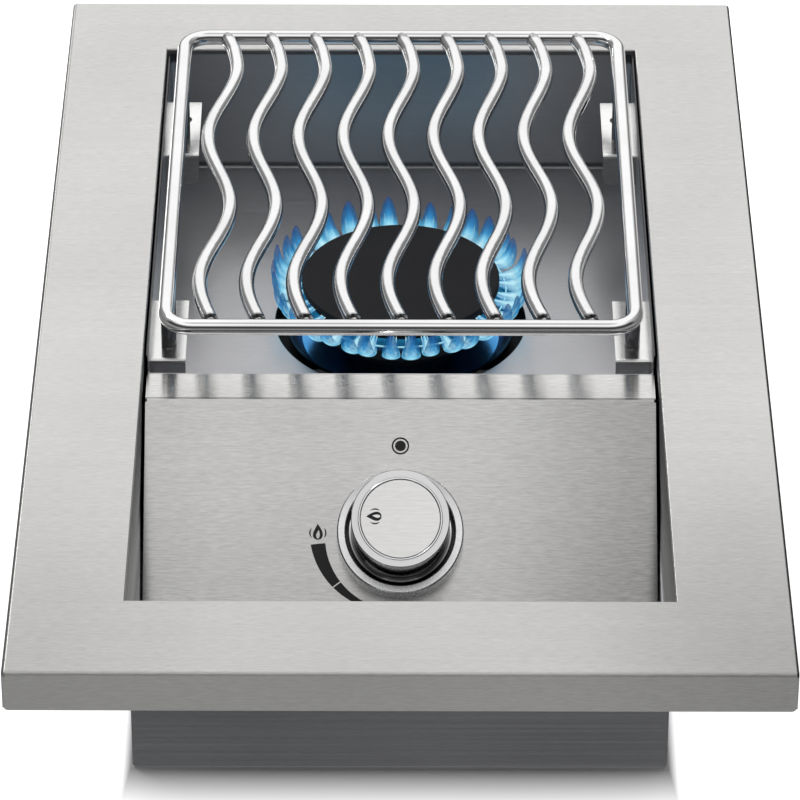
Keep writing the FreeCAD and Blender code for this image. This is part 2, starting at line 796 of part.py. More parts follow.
def make_strap():
    t = strap_sheet
    top = bowl_floor - bowl_sheet
    low = strap_height
    profile = [(-strap_half_span - strap_foot, top), (-strap_half_span, top), (-strap_half_span, low),
               (strap_half_span, low), (strap_half_span, top), (strap_half_span + strap_foot, top)]
    outline = sheet_outline(profile, t)[0]
    points = [Vec(x, burner_y - strap_width / 2, z) for x, z in outline]
    strap = Part.Face(Part.makePolygon(points + points[:1])).extrude(Vec(0, strap_width, 0))
    tab = box(-electrode_tab_width / 2, electrode_tab_width / 2, burner_y, burner_y + electrode_tab_end,
              low - t, low)
    strap = fuse(strap, tab)
    hole = Part.makeCylinder(base_neck_radius + dish_neck_clearance, 4 * t, Vec(0, burner_y, low - 2 * t))
    electrode = Part.makeCylinder(ceramic_radius + ceramic_hole_clearance, 4 * t,
                                  Vec(0, burner_y + electrode_offset, low - 2 * t))
    holes = [screw_hole(seat, Vec(0, 0, 1), t + 1) for seat in burner_screw_seats()]
    return cut(strap, hole, electrode, *holes)


# Venturi and shutter
def make_venturi():
    start = venturi_front
    end = burner_y - base_neck_radius
    length = end - start
    r = venturi_radius
    t = venturi_wall
    waist = venturi_throat_radius
    stations = [(0, r), (0.26 * length, r), (0.42 * length, waist), (0.52 * length, waist), (0.86 * length, r),
                (length, r)]
    outer = [(radius, d) for d, radius in stations]
    inner = [(radius - t, d) for d, radius in stations[1:]]
    profile = ([(jet_hole_radius, 0)] + outer + inner[::-1]
               + [(r - t, venturi_end_plate), (jet_hole_radius, venturi_end_plate)])
    tube = turned(profile)
    windows = []
    for s in (-1, 1):
        x0, x1 = (r - 4, r + 2) if s > 0 else (-r - 2, -r + 4)
        z0 = shutter_setback + (shutter_length - air_window_height) / 2
        windows.append(box(x0, x1, -air_window_width / 2, air_window_width / 2, z0, z0 + air_window_height))
    tube = cut(tube, *windows)
    return place_on_venturi(tube)


def place_on_venturi(shape):
    """Local Z becomes +Y along the venturi axis, local X stays."""
    shape.Placement = FreeCAD.Placement(Vec(0, venturi_front, venturi_height),
                                        FreeCAD.Rotation(Vec(1, 0, 0), -90)).multiply(shape.Placement)
    return shape


def make_air_shutter():
    inner = venturi_radius + shutter_clearance
    outer = inner + shutter_wall
    collar = turned([(inner, shutter_setback), (outer, shutter_setback), (outer, shutter_setback + shutter_length),
                     (inner, shutter_setback + shutter_length)])
    z0 = shutter_setback + (shutter_length - air_window_height) / 2
    cutters = []
    for s in (-1, 1):
        x0, x1 = (inner - 4, outer + 2) if s > 0 else (-outer - 2, -inner + 4)
        cutters.append(box(x0, x1, -air_window_width / 2, air_window_width / 2, z0, z0 + air_window_height))
    middle = shutter_setback + shutter_length / 2
    cutters.append(rod(lock_screw_radius + screw_hole_clearance / 2, Vec(0, -outer - 2, middle),
                       Vec(0, -inner + 2, middle)))
    return place_on_venturi(cut(collar, *cutters))


def make_lock_screw():
    inner = venturi_radius + shutter_clearance
    outer = inner + shutter_wall
    middle = shutter_setback + shutter_length / 2
    shank = rod(lock_screw_radius, Vec(0, -inner - 0.05, middle), Vec(0, -outer - 1, middle))
    head = rod(2 * lock_screw_radius, Vec(0, -outer, middle), Vec(0, -outer - 3.5, middle))
    return place_on_venturi(fuse(shank, head))


# Gas valve
def make_valve_body():
    top = plate_back
    plate_low = top - valve_plate_thickness
    barrel = Part.makeCylinder(valve_barrel_radius, valve_barrel_length, Vec(0, 0, top - valve_barrel_length))
    tail = Part.makeCylinder(valve_tail_radius, valve_tail_length, Vec(0, 0, top - valve_tail_length))
    ears = []
    for s in (-1, 1):
        ears.append(Part.makeCylinder(valve_ear_radius, valve_plate_thickness,
                                      Vec(s * valve_screw_offset, 0, plate_low)))
    bar = box(-valve_screw_offset, valve_screw_offset, -valve_ear_radius, valve_ear_radius, plate_low, top)
    inlet = rod(inlet_boss_radius, Vec(0, 0, inlet_axis), Vec(inlet_boss_end, 0, inlet_axis))
    body = on_panel(fuse(barrel, tail, bar, inlet, *ears))
    outlet_end = front_y + outlet_boss_from_front
    start = axis_point_at_height(venturi_height)
    outlet = rod(outlet_boss_radius, start, Vec(0, outlet_end, venturi_height))
    body = fuse(body, outlet)
    chamber = Part.makeCylinder(spring_chamber_radius, top - plug_top, Vec(0, 0, plug_top))
    seat = turned([(0, plug_bottom - 0.5), (plug_bottom_radius + plug_clearance, plug_bottom - 0.5),
                   (plug_bottom_radius + plug_clearance, plug_bottom), (plug_top_radius + plug_clearance, plug_top),
                   (0, plug_top)])
    down = panel_direction(0, 0, 1)
    passage = rod(gas_passage_radius, start, start + down * gas_passage_run)
    outlet_bore = rod(gas_passage_radius, start, Vec(0, outlet_end + 1, venturi_height))
    inlet_bore = on_panel(rod(gas_passage_radius, Vec(plug_bottom_radius - 1, 0, inlet_axis),
                              Vec(inlet_boss_end + 1, 0, inlet_axis)))
    cutters = [on_panel(chamber.fuse(seat)), passage, outlet_bore, inlet_bore]
    for s in (-1, 1):
        cutters.append(screw_hole(panel_point(s * valve_screw_offset, 0, 0), panel_direction(0, 0, -1),
                                  valve_screw_hole_depth))
    return cut(body, *cutters)


def axis_point_at_height(height):
    """Point of the valve axis at a height above the tub's underside."""
    origin = valve_frame().Base
    along = panel_direction(0, 0, 1)
    return origin + along * ((height - origin.z) / along.z)


def make_valve_cover():
    plate = Part.makeCylinder(valve_barrel_radius, valve_cover_thickness, Vec(0, 0, plate_back))
    bar = box(-valve_screw_offset, valve_screw_offset, -valve_ear_radius, valve_ear_radius, plate_back,
              -panel_sheet)
    ears = [Part.makeCylinder(valve_ear_radius, valve_cover_thickness, Vec(s * valve_screw_offset, 0, plate_back))
            for s in (-1, 1)]
    cover = fuse(plate, bar, *ears)
    cutters = [Part.makeCylinder(stem_radius + stem_clearance, 6, Vec(0, 0, -5))]
    for s in (-1, 1):
        cutters.append(Part.makeCylinder(screw_radius + screw_hole_clearance, 6,
                                         Vec(s * valve_screw_offset, 0, -5)))
    return on_panel(cut(cover, *cutters))


def make_valve_plug():
    plug = turned([(0, plug_bottom), (plug_bottom_radius, plug_bottom), (plug_top_radius, plug_top), (0, plug_top)])
    slot_half = stem_tang_half + stem_clearance
    slot = box(-slot_half, slot_half, -stem_radius - stem_clearance, stem_radius + stem_clearance,
               plug_top - plug_slot_depth, plug_top + 1)
    gas_way = rod(gas_passage_radius, Vec(0, 0, inlet_axis), Vec(plug_top_radius + 1, 0, inlet_axis))
    down = rod(gas_passage_radius, Vec(0, 0, inlet_axis), Vec(0, 0, plug_bottom - 1))
    return on_panel(cut(plug, slot, gas_way, down))


def make_valve_stem():
    stem = Part.makeCylinder(stem_radius, stem_top - stem_tip, Vec(0, 0, stem_tip))
    collar = Part.makeCylinder(collar_radius, collar_thickness, Vec(0, 0, collar_bottom))
    flat = box(-stem_radius - 1, stem_radius + 1, stem_flat, stem_radius + 1, knob_base_height, stem_top + 1)
    tangs = []
    for s in (-1, 1):
        x0, x1 = (stem_tang_half, stem_radius + 1) if s > 0 else (-stem_radius - 1, -stem_tang_half)
        tangs.append(box(x0, x1, -stem_radius - 1, stem_radius + 1, stem_tip - 1, stem_tip + stem_tang_length + 4))
    return on_panel(cut(fuse(stem, collar), flat, *tangs))


def make_valve_spring():
    """Return spring between the plug and the stem's collar."""
    low = plug_top + spring_play + spring_wire / 2
    high = collar_bottom - spring_play - spring_wire / 2
    helix = Part.makeHelix((high - low) / spring_turns, high - low, spring_mean_radius)
    helix.translate(Vec(0, 0, low))
    section = Part.Wire(Part.makeCircle(spring_wire / 2, Vec(spring_mean_radius, 0, low), Vec(0, 1, 0)))
    spring = Part.Wire(helix).makePipeShell([section], True, True)
    return on_panel(spring)


def make_gas_jet():
    start = Vec(0, front_y + outlet_boss_from_front, venturi_height)
    along = Vec(0, 1, 0)
    hexagon_part = hexagon(jet_hex_across_flats, jet_hex_length, start, along)
    hood = turned([(0, 0), (jet_hood_radius, 0), (jet_hood_radius, jet_hood_length * 0.6),
                   (jet_tip_radius, jet_hood_length), (0, jet_hood_length)])
    hood.Placement = FreeCAD.Placement(start + along * jet_hex_length, FreeCAD.Rotation(Vec(0, 0, 1), along))
    bore = rod(jet_bore_radius, start, start + along * (jet_hex_length + jet_hood_length + 1))
    cup = rod(gas_passage_radius, start, start + along * (jet_hex_length + jet_hood_length - 3))
    return cut(fuse(hexagon_part, hood), bore, cup)


# Knob and bezel
def make_bezel():
    e = bezel_edge
    ring = turned([(stem_hole_radius, 0), (bezel_radius, 0), (bezel_top_radius, bezel_height - e),
                   (bezel_top_radius - e, bezel_height), (bezel_bore_radius + e, bezel_height),
                   (bezel_bore_radius, bezel_height - e), (bezel_bore_radius, bezel_floor),
                   (stem_hole_radius, bezel_floor)])
    holes = [Part.makeCylinder(screw_radius + screw_hole_clearance, 3 * bezel_floor,
                               Vec(s * valve_screw_offset, 0, -bezel_floor)) for s in (-1, 1)]
    return on_panel(cut(ring, *holes))


def make_knob():
    face = knob_top_height
    rim_in = insert_radius + insert_clearance
    rim_out = rim_in + knob_rim_width
    step = knob_skirt_height
    body = turned([(0, face - knob_crown), (knob_bore_radius, face - knob_crown), (knob_bore_radius, knob_base_height),
                   (knob_skirt_radius, knob_base_height), (knob_skirt_radius, knob_base_height + step),
                   (knob_body_radius, knob_base_height + step + 0.4), (knob_body_radius, face - knob_lip_height),
                   (knob_lip_radius, face - knob_lip_height + 0.5), (knob_lip_radius, face - 0.4),
                   (knob_lip_radius - 0.4, face), (rim_out, face), (rim_out - 0.25, face + knob_rim_proud),
                   (rim_in + 0.25, face + knob_rim_proud), (rim_in, face), (rim_in, face - insert_thickness),
                   (0, face - insert_thickness)])
    hub_low = knob_base_height + 2
    hub = Part.makeCylinder(knob_hub_radius, face - knob_crown - hub_low + 0.5, Vec(0, 0, hub_low))
    bore = Part.makeCylinder(stem_radius + stem_clearance, stem_top + 0.5 - hub_low + 1, Vec(0, 0, hub_low - 1))
    flat = box(-stem_radius - 1, stem_radius + 1, stem_flat + stem_clearance, stem_radius + 1, hub_low - 1,
               stem_top + 1)
    return on_panel(cut(fuse(body, hub), bore.cut(flat)))


def make_knob_insert():
    face = knob_top_height
    disc = turned([(0, face - insert_thickness), (insert_radius, face - insert_thickness),
                   (insert_radius, face - 0.2), (insert_radius - 0.2, face), (0, face)])
    return on_panel(disc)


# Ignition
def make_igniter_module():
    offset = valve_barrel_radius + module_radius + 0.5
    top = plate_back - valve_plate_thickness
    body = Part.makeCylinder(module_radius, module_length, Vec(-offset, 0, top - module_length))
    nose = Part.makeCylinder(module_radius * 0.55, 6, Vec(-offset, 0, top - module_length - 6))
    saddle = box(-offset, -valve_tail_radius, -module_saddle / 2, module_saddle / 2, top - module_length * 0.75,
                 top - module_length * 0.25)
    module = fuse(body, nose, saddle)
    barrel = Part.makeCylinder(valve_barrel_radius, valve_tail_length, Vec(0, 0, plate_back - valve_tail_length))
    return on_panel(cut(module, barrel))


def make_electrode_ceramic():
    wire_hole = electrode_radius
    ceramic = turned([(wire_hole, ceramic_bottom_height), (ceramic_radius, ceramic_bottom_height),
                      (ceramic_radius, strap_height), (ceramic_collar_radius, strap_height),
                      (ceramic_collar_radius, strap_height + ceramic_collar_height),
                      (ceramic_radius, strap_height + ceramic_collar_height), (ceramic_radius, ceramic_top - 1),
                      (ceramic_radius - 1, ceramic_top), (wire_hole, ceramic_top)])
    ceramic.translate(Vec(0, burner_y + electrode_offset, 0))
    return ceramic


def make_electrode_rod():
    y = burner_y + electrode_offset
    bend = 2.5 * electrode_radius
    path = [Vec(0, y, ceramic_bottom_height - 6), Vec(0, y, electrode_tip),
            Vec(0, y - electrode_reach, electrode_tip)]
    return bent_bar(path, bend, electrode_radius)


# Gas inlet
def make_inlet_fitting():
    y = opening_rear + tub_sheet
    along = Vec(0, 1, 0)
    hexa = hexagon(inlet_hex_across_flats, inlet_hex_length, Vec(inlet_offset, y, inlet_height), along)
    pin = rod(inlet_pin_radius, Vec(inlet_offset, opening_rear - inlet_inside_length, inlet_height),
              Vec(inlet_offset, y + inlet_hex_length + inlet_pin_length, inlet_height))
    bore = rod(supply_pipe_radius, Vec(inlet_offset, opening_rear - inlet_inside_length - 1, inlet_height),
               Vec(inlet_offset, opening_rear - inlet_inside_length + inlet_socket_depth, inlet_height))
    way = rod(supply_pipe_radius - supply_pipe_wall, Vec(inlet_offset, opening_rear - inlet_inside_length, inlet_height),
              Vec(inlet_offset, y + inlet_hex_length + inlet_pin_length + 1, inlet_height))
    return cut(fuse(hexa, pin), bore, way)


def make_bulkhead_nut():
    start = Vec(inlet_offset, opening_rear - bulkhead_nut_thickness, inlet_height)
    nut = hexagon(inlet_hex_across_flats, bulkhead_nut_thickness, start, Vec(0, 1, 0))
    return nut.cut(rod(inlet_pin_radius, start - Vec(0, 1, 0), start + Vec(0, bulkhead_nut_thickness + 1, 0)))


def supply_path():
    inlet = panel_point(inlet_boss_end, 0, inlet_axis)
    start = Vec(inlet.x, inlet.y, inlet.z)
    turn = Vec(inlet_offset, inlet.y, inlet.z)
    level = Vec(inlet_offset, front_y + supply_turn_from_front, inlet_height)
    end = Vec(inlet_offset, opening_rear - inlet_inside_length + inlet_socket_depth, inlet_height)
    return [start, turn, level, end]


def make_supply_pipe():
    path = supply_path()
    outer = bent_bar(path, supply_bend_radius, supply_pipe_radius)
    inner = bent_bar(path, supply_bend_radius, supply_pipe_radius - supply_pipe_wall)
    return outer.cut(inner)


def make_pipe_nuts():
    nuts = []
    start, turn, level, end = supply_path()
    for place, direction in ((start, Vec(1, 0, 0)),
                             (Vec(inlet_offset, opening_rear - inlet_inside_length, inlet_height), Vec(0, -1, 0))):
        nut = hexagon(pipe_nut_across_flats, pipe_nut_length, place, direction)
        nuts.append(nut.cut(rod(supply_pipe_radius, place - direction, place + direction * (pipe_nut_length + 1))))
    return nuts


# Bowl stand-offs and screws
def make_standoffs():
    t = standoff_sheet
    top = bowl_floor - bowl_sheet
    pieces = []
    for sx in (-1, 1):
        for y in standoff_places:
            x = sx * standoff_offset
            path = [(-standoff_foot, tub_sheet + t), (0, tub_sheet + t), (0, top), (standoff_foot, top)]
            outline = sheet_outline(path, t)[0]
            points = [Vec(x - standoff_width / 2, y + py, pz) for py, pz in outline]
            pieces.append(Part.Face(Part.makePolygon(points + points[:1])).extrude(Vec(standoff_width, 0, 0)))
    return pieces


def make_burner_screws():
    length = strap_sheet + dish_sheet + base_shoulder_height - 2.0
    return [screw(seat, Vec(0, 0, 1), length) for seat in burner_screw_seats()]


def make_valve_screws():
    length = bezel_floor + panel_sheet + valve_cover_thickness + valve_plate_thickness
    seats = [panel_point(s * valve_screw_offset, 0, bezel_floor) for s in (-1, 1)]
    return [screw(seat, panel_direction(0, 0, -1), length) for seat in seats]


def make_panel_screws():
    screws = []
    for x in (-panel_screw_offset, panel_screw_offset):
        screws.append(screw(foot_screw_seat(x), Vec(0, 0, -1), panel_sheet + tub_sheet - screw_tip_setback))
        screws.append(screw(ledge_screw_seat(x), Vec(0, 1, 0), panel_sheet + bowl_sheet - screw_tip_setback))
    return screws


export("trim_frame", make_trim_frame())
export("tub", make_tub())
export("bowl", make_bowl())
export("control_panel", make_control_panel())
for side_name, side in (("left", -1), ("right", 1)):
    for end_name, place in (("front", front_bracket_y), ("rear", rear_bracket_y)):
        export("grid_bracket_" + end_name + "_" + side_name, make_bracket(side, place))
grid_frame = export("grid_frame", make_grid_frame())
export("grid_wave_rods", make_wave_rods(grid_frame))
export("grid_legs", make_grid_legs(grid_frame))
export("burner_cap", make_burner_cap())
export("burner_head", make_burner_head())
export("burner_base", make_burner_base())
export("drip_dish", make_dish())
export("burner_strap", make_strap())
export("venturi_tube", make_venturi())
export("air_shutter", make_air_shutter())
export("shutter_lock_screw", make_lock_screw())
export("valve_body", make_valve_body())
export("valve_cover", make_valve_cover())
export("valve_plug", make_valve_plug())
export("valve_stem", make_valve_stem())
export("valve_spring", make_valve_spring())
export("gas_jet", make_gas_jet())
export("knob_bezel", make_bezel())
export("knob_body", make_knob())
export("knob_insert", make_knob_insert())
export("igniter_module", make_igniter_module())
export("electrode_ceramic", make_electrode_ceramic())
export("electrode_rod", make_electrode_rod())
export("inlet_fitting", make_inlet_fitting())
export("bulkhead_nut", make_bulkhead_nut())
export("supply_pipe", make_supply_pipe())
export("pipe_nuts", make_pipe_nuts())
export("bowl_standoffs", make_standoffs())
export("burner_screws", make_burner_screws())
export("valve_screws", make_valve_screws())
export("panel_screws", make_panel_screws())
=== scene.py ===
"""Looks of a built-in side burner: finishes, printed marks, burning gas, studio and camera."""
import bpy
import json
import math
from mathutils import Matrix, Vector


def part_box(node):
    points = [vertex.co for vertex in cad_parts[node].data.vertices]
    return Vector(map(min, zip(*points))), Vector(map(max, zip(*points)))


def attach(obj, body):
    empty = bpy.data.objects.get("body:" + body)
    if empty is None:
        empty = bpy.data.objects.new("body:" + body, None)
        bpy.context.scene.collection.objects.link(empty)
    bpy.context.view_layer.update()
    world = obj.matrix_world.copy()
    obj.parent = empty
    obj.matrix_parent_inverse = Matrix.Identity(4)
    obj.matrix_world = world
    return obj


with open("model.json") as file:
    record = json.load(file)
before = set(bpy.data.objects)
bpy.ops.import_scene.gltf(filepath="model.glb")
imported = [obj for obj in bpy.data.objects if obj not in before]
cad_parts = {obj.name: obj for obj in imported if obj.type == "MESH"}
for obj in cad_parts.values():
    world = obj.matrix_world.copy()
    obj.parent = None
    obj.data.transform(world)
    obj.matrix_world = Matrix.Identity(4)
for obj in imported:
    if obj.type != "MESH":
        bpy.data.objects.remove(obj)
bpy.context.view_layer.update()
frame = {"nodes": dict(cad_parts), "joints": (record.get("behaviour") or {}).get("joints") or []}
nodes = frame["nodes"]

MM = 0.001

# Places and sizes of the frame, in millimetres
valve_turn = next(joint for joint in frame["joints"] if joint["name"] == "valve_turn")
KNOB_AXIS = Vector(valve_turn["pos_m"]) / MM
PANEL_ANGLE = math.atan2(-valve_turn["axis"][1], valve_turn["axis"][2])
trim_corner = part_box("trim_frame")[1] / MM
TRIM_SIDE = trim_corner.x
TRIM_TOP = trim_corner.z
cap_front, cap_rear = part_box("burner_cap")
BURNER_Y = (cap_front.y + cap_rear.y) / 2 / MM
head_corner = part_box("burner_head")[1] / MM
HEAD_RADIUS = head_corner.x
HEAD_TOP = head_corner.z

# What the frame doesn't give: the knob's face above the panel, in millimetres, and the burner's ports
KNOB_TOP = 44.0
PORT_COUNT = 36


def srgb(code):
    """Linear colour of an sRGB hex code."""
    values = [int(code[i:i + 2], 16) / 255 for i in (1, 3, 5)]
    linear = [v / 12.92 if v <= 0.04045 else ((v + 0.055) / 1.055) ** 2.4 for v in values]
    return (*linear, 1.0)


def grey_stops(levels):
    """A ramp's stops from places and linear grey levels."""
    return [(position, (grey, grey, grey, 1.0)) for position, grey in levels]


def add_node(tree, kind, inputs=(), stops=(), output=0, **settings):
    """Add a shader node: its settings, its inputs as values or links, and a ramp's stops."""
    new = tree.nodes.new("ShaderNode" + kind)
    for name, value in settings.items():
        setattr(new, name, value)
    for key, value in inputs.items() if isinstance(inputs, dict) else enumerate(inputs):
        if isinstance(value, bpy.types.NodeSocket):
            tree.links.new(value, new.inputs[key])
        else:
            new.inputs[key].default_value = value
    while stops and len(new.color_ramp.elements) < len(stops):
        new.color_ramp.elements.new(0.5)
    for i, (position, color) in enumerate(stops):
        new.color_ramp.elements[i].position = position
        new.color_ramp.elements[i].color = color
    return new.outputs[output] if new.outputs else new


def start_finish(name):
    """New material with an empty node tree."""
    material = bpy.data.materials.new(name)
    material.use_nodes = True
    material.node_tree.nodes.clear()
    return material, material.node_tree


def surface_grain(tree, spacing, detail=2.0, rough=0.5):
    """Random grain with its spacing along X, Y and Z in millimetres, from 0 to 1."""
    place = add_node(tree, "TexCoord", output="Object")
    scale = tuple(1000.0 / step for step in spacing)
    stretched = add_node(tree, "Mapping", {"Vector": place, "Scale": scale})
    return add_node(tree, "TexNoise", {"Vector": stretched, "Scale": 1.0, "Detail": detail,
                                       "Roughness": rough})


def part_axes(tree):
    """Object coordinates X, Y and Z, in millimetres."""
    place = add_node(tree, "TexCoord", output="Object")
    scaled = add_node(tree, "VectorMath", {0: place, "Scale": 1 / MM}, operation="SCALE")
    return [add_node(tree, "SeparateXYZ", [scaled], output=i) for i in range(3)]


def burner_radius(tree):
    """Distance from the burner's axis, in millimetres."""
    x, y, z = part_axes(tree)
    flat = add_node(tree, "CombineXYZ", [x, add_node(tree, "Math", [y, -BURNER_Y]), 0.0])
    return add_node(tree, "VectorMath", [flat], operation="LENGTH", output="Value")


def knob_axes(tree):
    """Distance from the knob's axis, way up the panel's face and height above it, in millimetres."""
    place = add_node(tree, "TexCoord", output="Object")
    turned = add_node(tree, "Mapping", {"Vector": place, "Location": KNOB_AXIS * MM,
                                        "Rotation": (PANEL_ANGLE, 0, 0), "Scale": (MM, MM, MM)},
                      vector_type="TEXTURE")
    x, y, height = [add_node(tree, "SeparateXYZ", [turned], output=i) for i in range(3)]
    flat = add_node(tree, "CombineXYZ", [x, y, 0.0])
    return add_node(tree, "VectorMath", [flat], operation="LENGTH", output="Value"), y, height


def darken(tree, color, loss):
    """Colour with a share of it taken away."""
    keep = add_node(tree, "Math", [1.0, loss], operation="SUBTRACT")
    grey = add_node(tree, "CombineColor", [keep, keep, keep])
    return add_node(tree, "Mix", {0: 1.0, 6: color, 7: grey}, data_type="RGBA", blend_type="MULTIPLY",
                    output=2)


# Stainless sheet, belt-brushed along X: fine parallel lines that draw each highlight out across them.
# Real lines lie 0.05 to 0.2 mm apart; they are drawn 0.9 mm apart so that they show.
def brushed_metal(name, color, dull, roughness, grain, streak, painted_shade=None, drawn=1.0):
    material, tree = start_finish(name)
    lines = surface_grain(tree, (167.0, 0.9, 0.9), 3.0, 0.6)
    dashes = surface_grain(tree, (5.9, 0.67, 0.67), 2.0, 0.6)
    clouds = surface_grain(tree, (111.0, 111.0, 111.0), 3.0)
    share = add_node(tree, "MapRange", [clouds, 0.3, 0.7, 0.0, 1.0])
    base = add_node(tree, "Mix", {0: share, 6: srgb(dull), 7: srgb(color)}, data_type="RGBA", output=2)
    loss = add_node(tree, "Math", [add_node(tree, "MapRange", [lines, 0.3, 0.7, 0.5 * streak, -0.5 * streak]),
                                   add_node(tree, "MapRange", [dashes, 0.3, 0.7, streak, -streak])])
    # Painted shade: the piece's own mask takes a share of the colour away.
    if painted_shade:
        loss = add_node(tree, "Math", [loss, painted_shade(tree)])
    rough = add_node(tree, "MapRange", [lines, 0.3, 0.7, *roughness])
    bump = add_node(tree, "Bump", {"Strength": grain, "Distance": 0.04 * MM, "Height": lines})
    tangent = add_node(tree, "Tangent", direction_type="RADIAL", axis="X")
    shader = add_node(tree, "BsdfPrincipled", {"Base Color": darken(tree, base, loss), "Metallic": 1.0,
                                               "Roughness": rough, "Anisotropic": drawn, "Normal": bump,
                                               "Tangent": tangent})
    add_node(tree, "OutputMaterial", [shader])
    return material


def trim_painted_shade(tree):
    """Painted shade: the frame's top is darkened towards its front corners, most on the right, and its side
    folds are painted dark, a painted reflection of a dark room.
    """
    x, y, z = part_axes(tree)
    side = add_node(tree, "Math", [x], operation="ABSOLUTE")
    corner = add_node(tree, "MapRange", [side, TRIM_SIDE / 3, TRIM_SIDE, 0.0, 0.12],
                      interpolation_type="SMOOTHSTEP")
    right = add_node(tree, "MapRange", [x, 0.0, TRIM_SIDE, 0.13, 0.24], interpolation_type="SMOOTHSTEP")
    front = add_node(tree, "MapRange", [y, -50.0, -300.0, 0.0, 1.0], interpolation_type="SMOOTHSTEP")
    top = add_node(tree, "MapRange", [z, TRIM_TOP - 2.0, TRIM_TOP - 0.5, 0.35, 1.0])
    both = add_node(tree, "Math", [corner, right])
    dull = add_node(tree, "Math", [add_node(tree, "Math", [both, front], operation="MULTIPLY"), top],
                    operation="MULTIPLY")
    right_edge = add_node(tree, "MapRange", [x, TRIM_SIDE - 1.5, TRIM_SIDE - 0.8, 0.0, 0.94])
    left_edge = add_node(tree, "MapRange", [x, 2.2 - TRIM_SIDE, 1.8 - TRIM_SIDE, 0.0, 0.45])
    fold = add_node(tree, "MapRange", [z, TRIM_TOP - 3.0, TRIM_TOP - 2.0, 0.0, 1.0])
    either = add_node(tree, "Math", [right_edge, left_edge], operation="MAXIMUM")
    edges = add_node(tree, "Math", [either, fold], operation="MULTIPLY")
    return add_node(tree, "Math", [dull, edges], operation="MAXIMUM")


def panel_painted_shade(tree):
    """Painted shade: the inclined face is darkened to its right and lower side, and a fine dark line is
    painted behind the fold.
    """
    x, y, z = part_axes(tree)
    right = add_node(tree, "MapRange", [x, 30.0, 125.0, 0.0, 0.33], interpolation_type="SMOOTHSTEP")
    left = add_node(tree, "MapRange", [x, -80.0, -125.0, 0.0, 0.06], interpolation_type="SMOOTHSTEP")
    low = add_node(tree, "MapRange", [z, 100.0, 30.0, 0.0, 0.16], interpolation_type="SMOOTHSTEP")
    face = add_node(tree, "MapRange", [y, -65.5, -67.0, 0.0, 1.0])
    sides = add_node(tree, "Math", [add_node(tree, "Math", [right, left]), low])
    off_line = add_node(tree, "Math", [add_node(tree, "Math", [y, 65.7])], operation="ABSOLUTE")
    line = add_node(tree, "MapRange", [off_line, 0.0, 1.1, 0.62, 0.0], interpolation_type="SMOOTHSTEP")
    return add_node(tree, "Math", [add_node(tree, "Math", [sides, face], operation="MULTIPLY"), line])


def bowl_painted_shade(tree):
    """Painted shade: the folds, the rear and the upper side edges are darkened, and the inside of the burner
    hole is painted black, a painted shadow of the gap below it.
    """
    x, y, z = part_axes(tree)
    low = add_node(tree, "MapRange", [z, 48.0, 48.5, 0.0, 0.6])
    high = add_node(tree, "MapRange", [z, 52.0, 50.0, 0.0, 1.0])
    fold = add_node(tree, "Math", [low, high], operation="MULTIPLY")
    hole = add_node(tree, "MapRange", [burner_radius(tree), 65.9, 65.6, 0.0, 0.97])
    rear = add_node(tree, "MapRange", [y, 140.0, 220.0, 0.0, 0.14], interpolation_type="SMOOTHSTEP")
    aside = add_node(tree, "Math", [x], operation="ABSOLUTE")
    side = add_node(tree, "MapRange", [aside, 118.0, 122.0, 0.0, 1.0])
    top = add_node(tree, "MapRange", [z, 113.0, 115.0, 0.0, 0.85])
    rim = add_node(tree, "Math", [side, top], operation="MULTIPLY")
    dull = add_node(tree, "Math", [add_node(tree, "Math", [fold, rear]), rim], operation="MAXIMUM")
    return add_node(tree, "Math", [dull, hole], operation="MAXIMUM")


def tub_painted_shade(tree):
    """Painted shade: the tub's inner walls beside the panel are darkened where they stand in the frame's
    shade.
    """
    return add_node(tree, "MapRange", [part_axes(tree)[2], 50.0, 65.0, 0.0, 0.52])


def bracket_painted_shade(tree):
    """Painted shade: the folded flanges below the plates are darkened for the shade of the pan, and the front
    plates are painted a little darker.
    """
    x, y, z = part_axes(tree)
    flange = add_node(tree, "MapRange", [z, 103.0, 104.2, 0.50, 0.0])
    front = add_node(tree, "MapRange", [y, 150.0, 50.0, 0.0, 0.08])
    return add_node(tree, "Math", [flange, front])


# Polished, drawn or plated metal: a mirror with a faint ripple, 0.6 to 0.8 mm across on the rods as on real
# drawn rod, and 2.5 mm across on the other pieces.
def polished_metal(name, color, dull, roughness, grain_size, grain, painted_shade=None):
    material, tree = start_finish(name)
    clouds = surface_grain(tree, (33.0, 33.0, 33.0), 3.0)
    fine = surface_grain(tree, (grain_size,) * 3, 3.0, 0.6)
    share = add_node(tree, "MapRange", [clouds, 0.3, 0.7, 0.0, 1.0])
    base = add_node(tree, "Mix", {0: share, 6: srgb(dull), 7: srgb(color)}, data_type="RGBA", output=2)
    # Painted shade: the piece's own mask takes a share of the colour away.
    if painted_shade:
        base = darken(tree, base, painted_shade(tree))
    rough = add_node(tree, "MapRange", [fine, 0.3, 0.7, *roughness])
    bump = add_node(tree, "Bump", {"Strength": grain, "Distance": 0.04 * MM, "Height": fine})
    shader = add_node(tree, "BsdfPrincipled", {"Base Color": base, "Metallic": 1.0, "Roughness": rough,
                                               "Normal": bump})
    add_node(tree, "OutputMaterial", [shader])
    return material


def dish_painted_shadow(tree):
    """The dish's turned edge is painted black, a painted shadow of the dark gap round the burner."""
    return add_node(tree, "MapRange", [burner_radius(tree), 53.5, 55.0, 0.0, 0.95])


def rod_end_darkening(tree):
    """Rods are darker, in patches, where they meet the grid's front and rear bar."""
    y = part_axes(tree)[1]
    front = add_node(tree, "MapRange", [y, -35.8, -37.8, 0.0, 0.75], interpolation_type="SMOOTHSTEP")
    rear = add_node(tree, "MapRange", [y, 233.5, 236.0, 0.0, 0.6], interpolation_type="SMOOTHSTEP")
    patches = add_node(tree, "MapRange", [surface_grain(tree, (1.6, 1.6, 1.6)), 0.35, 0.6, 0.55, 1.0])
    ends = add_node(tree, "Math", [front, rear])
    return add_node(tree, "Math", [ends, patches], operation="MULTIPLY")


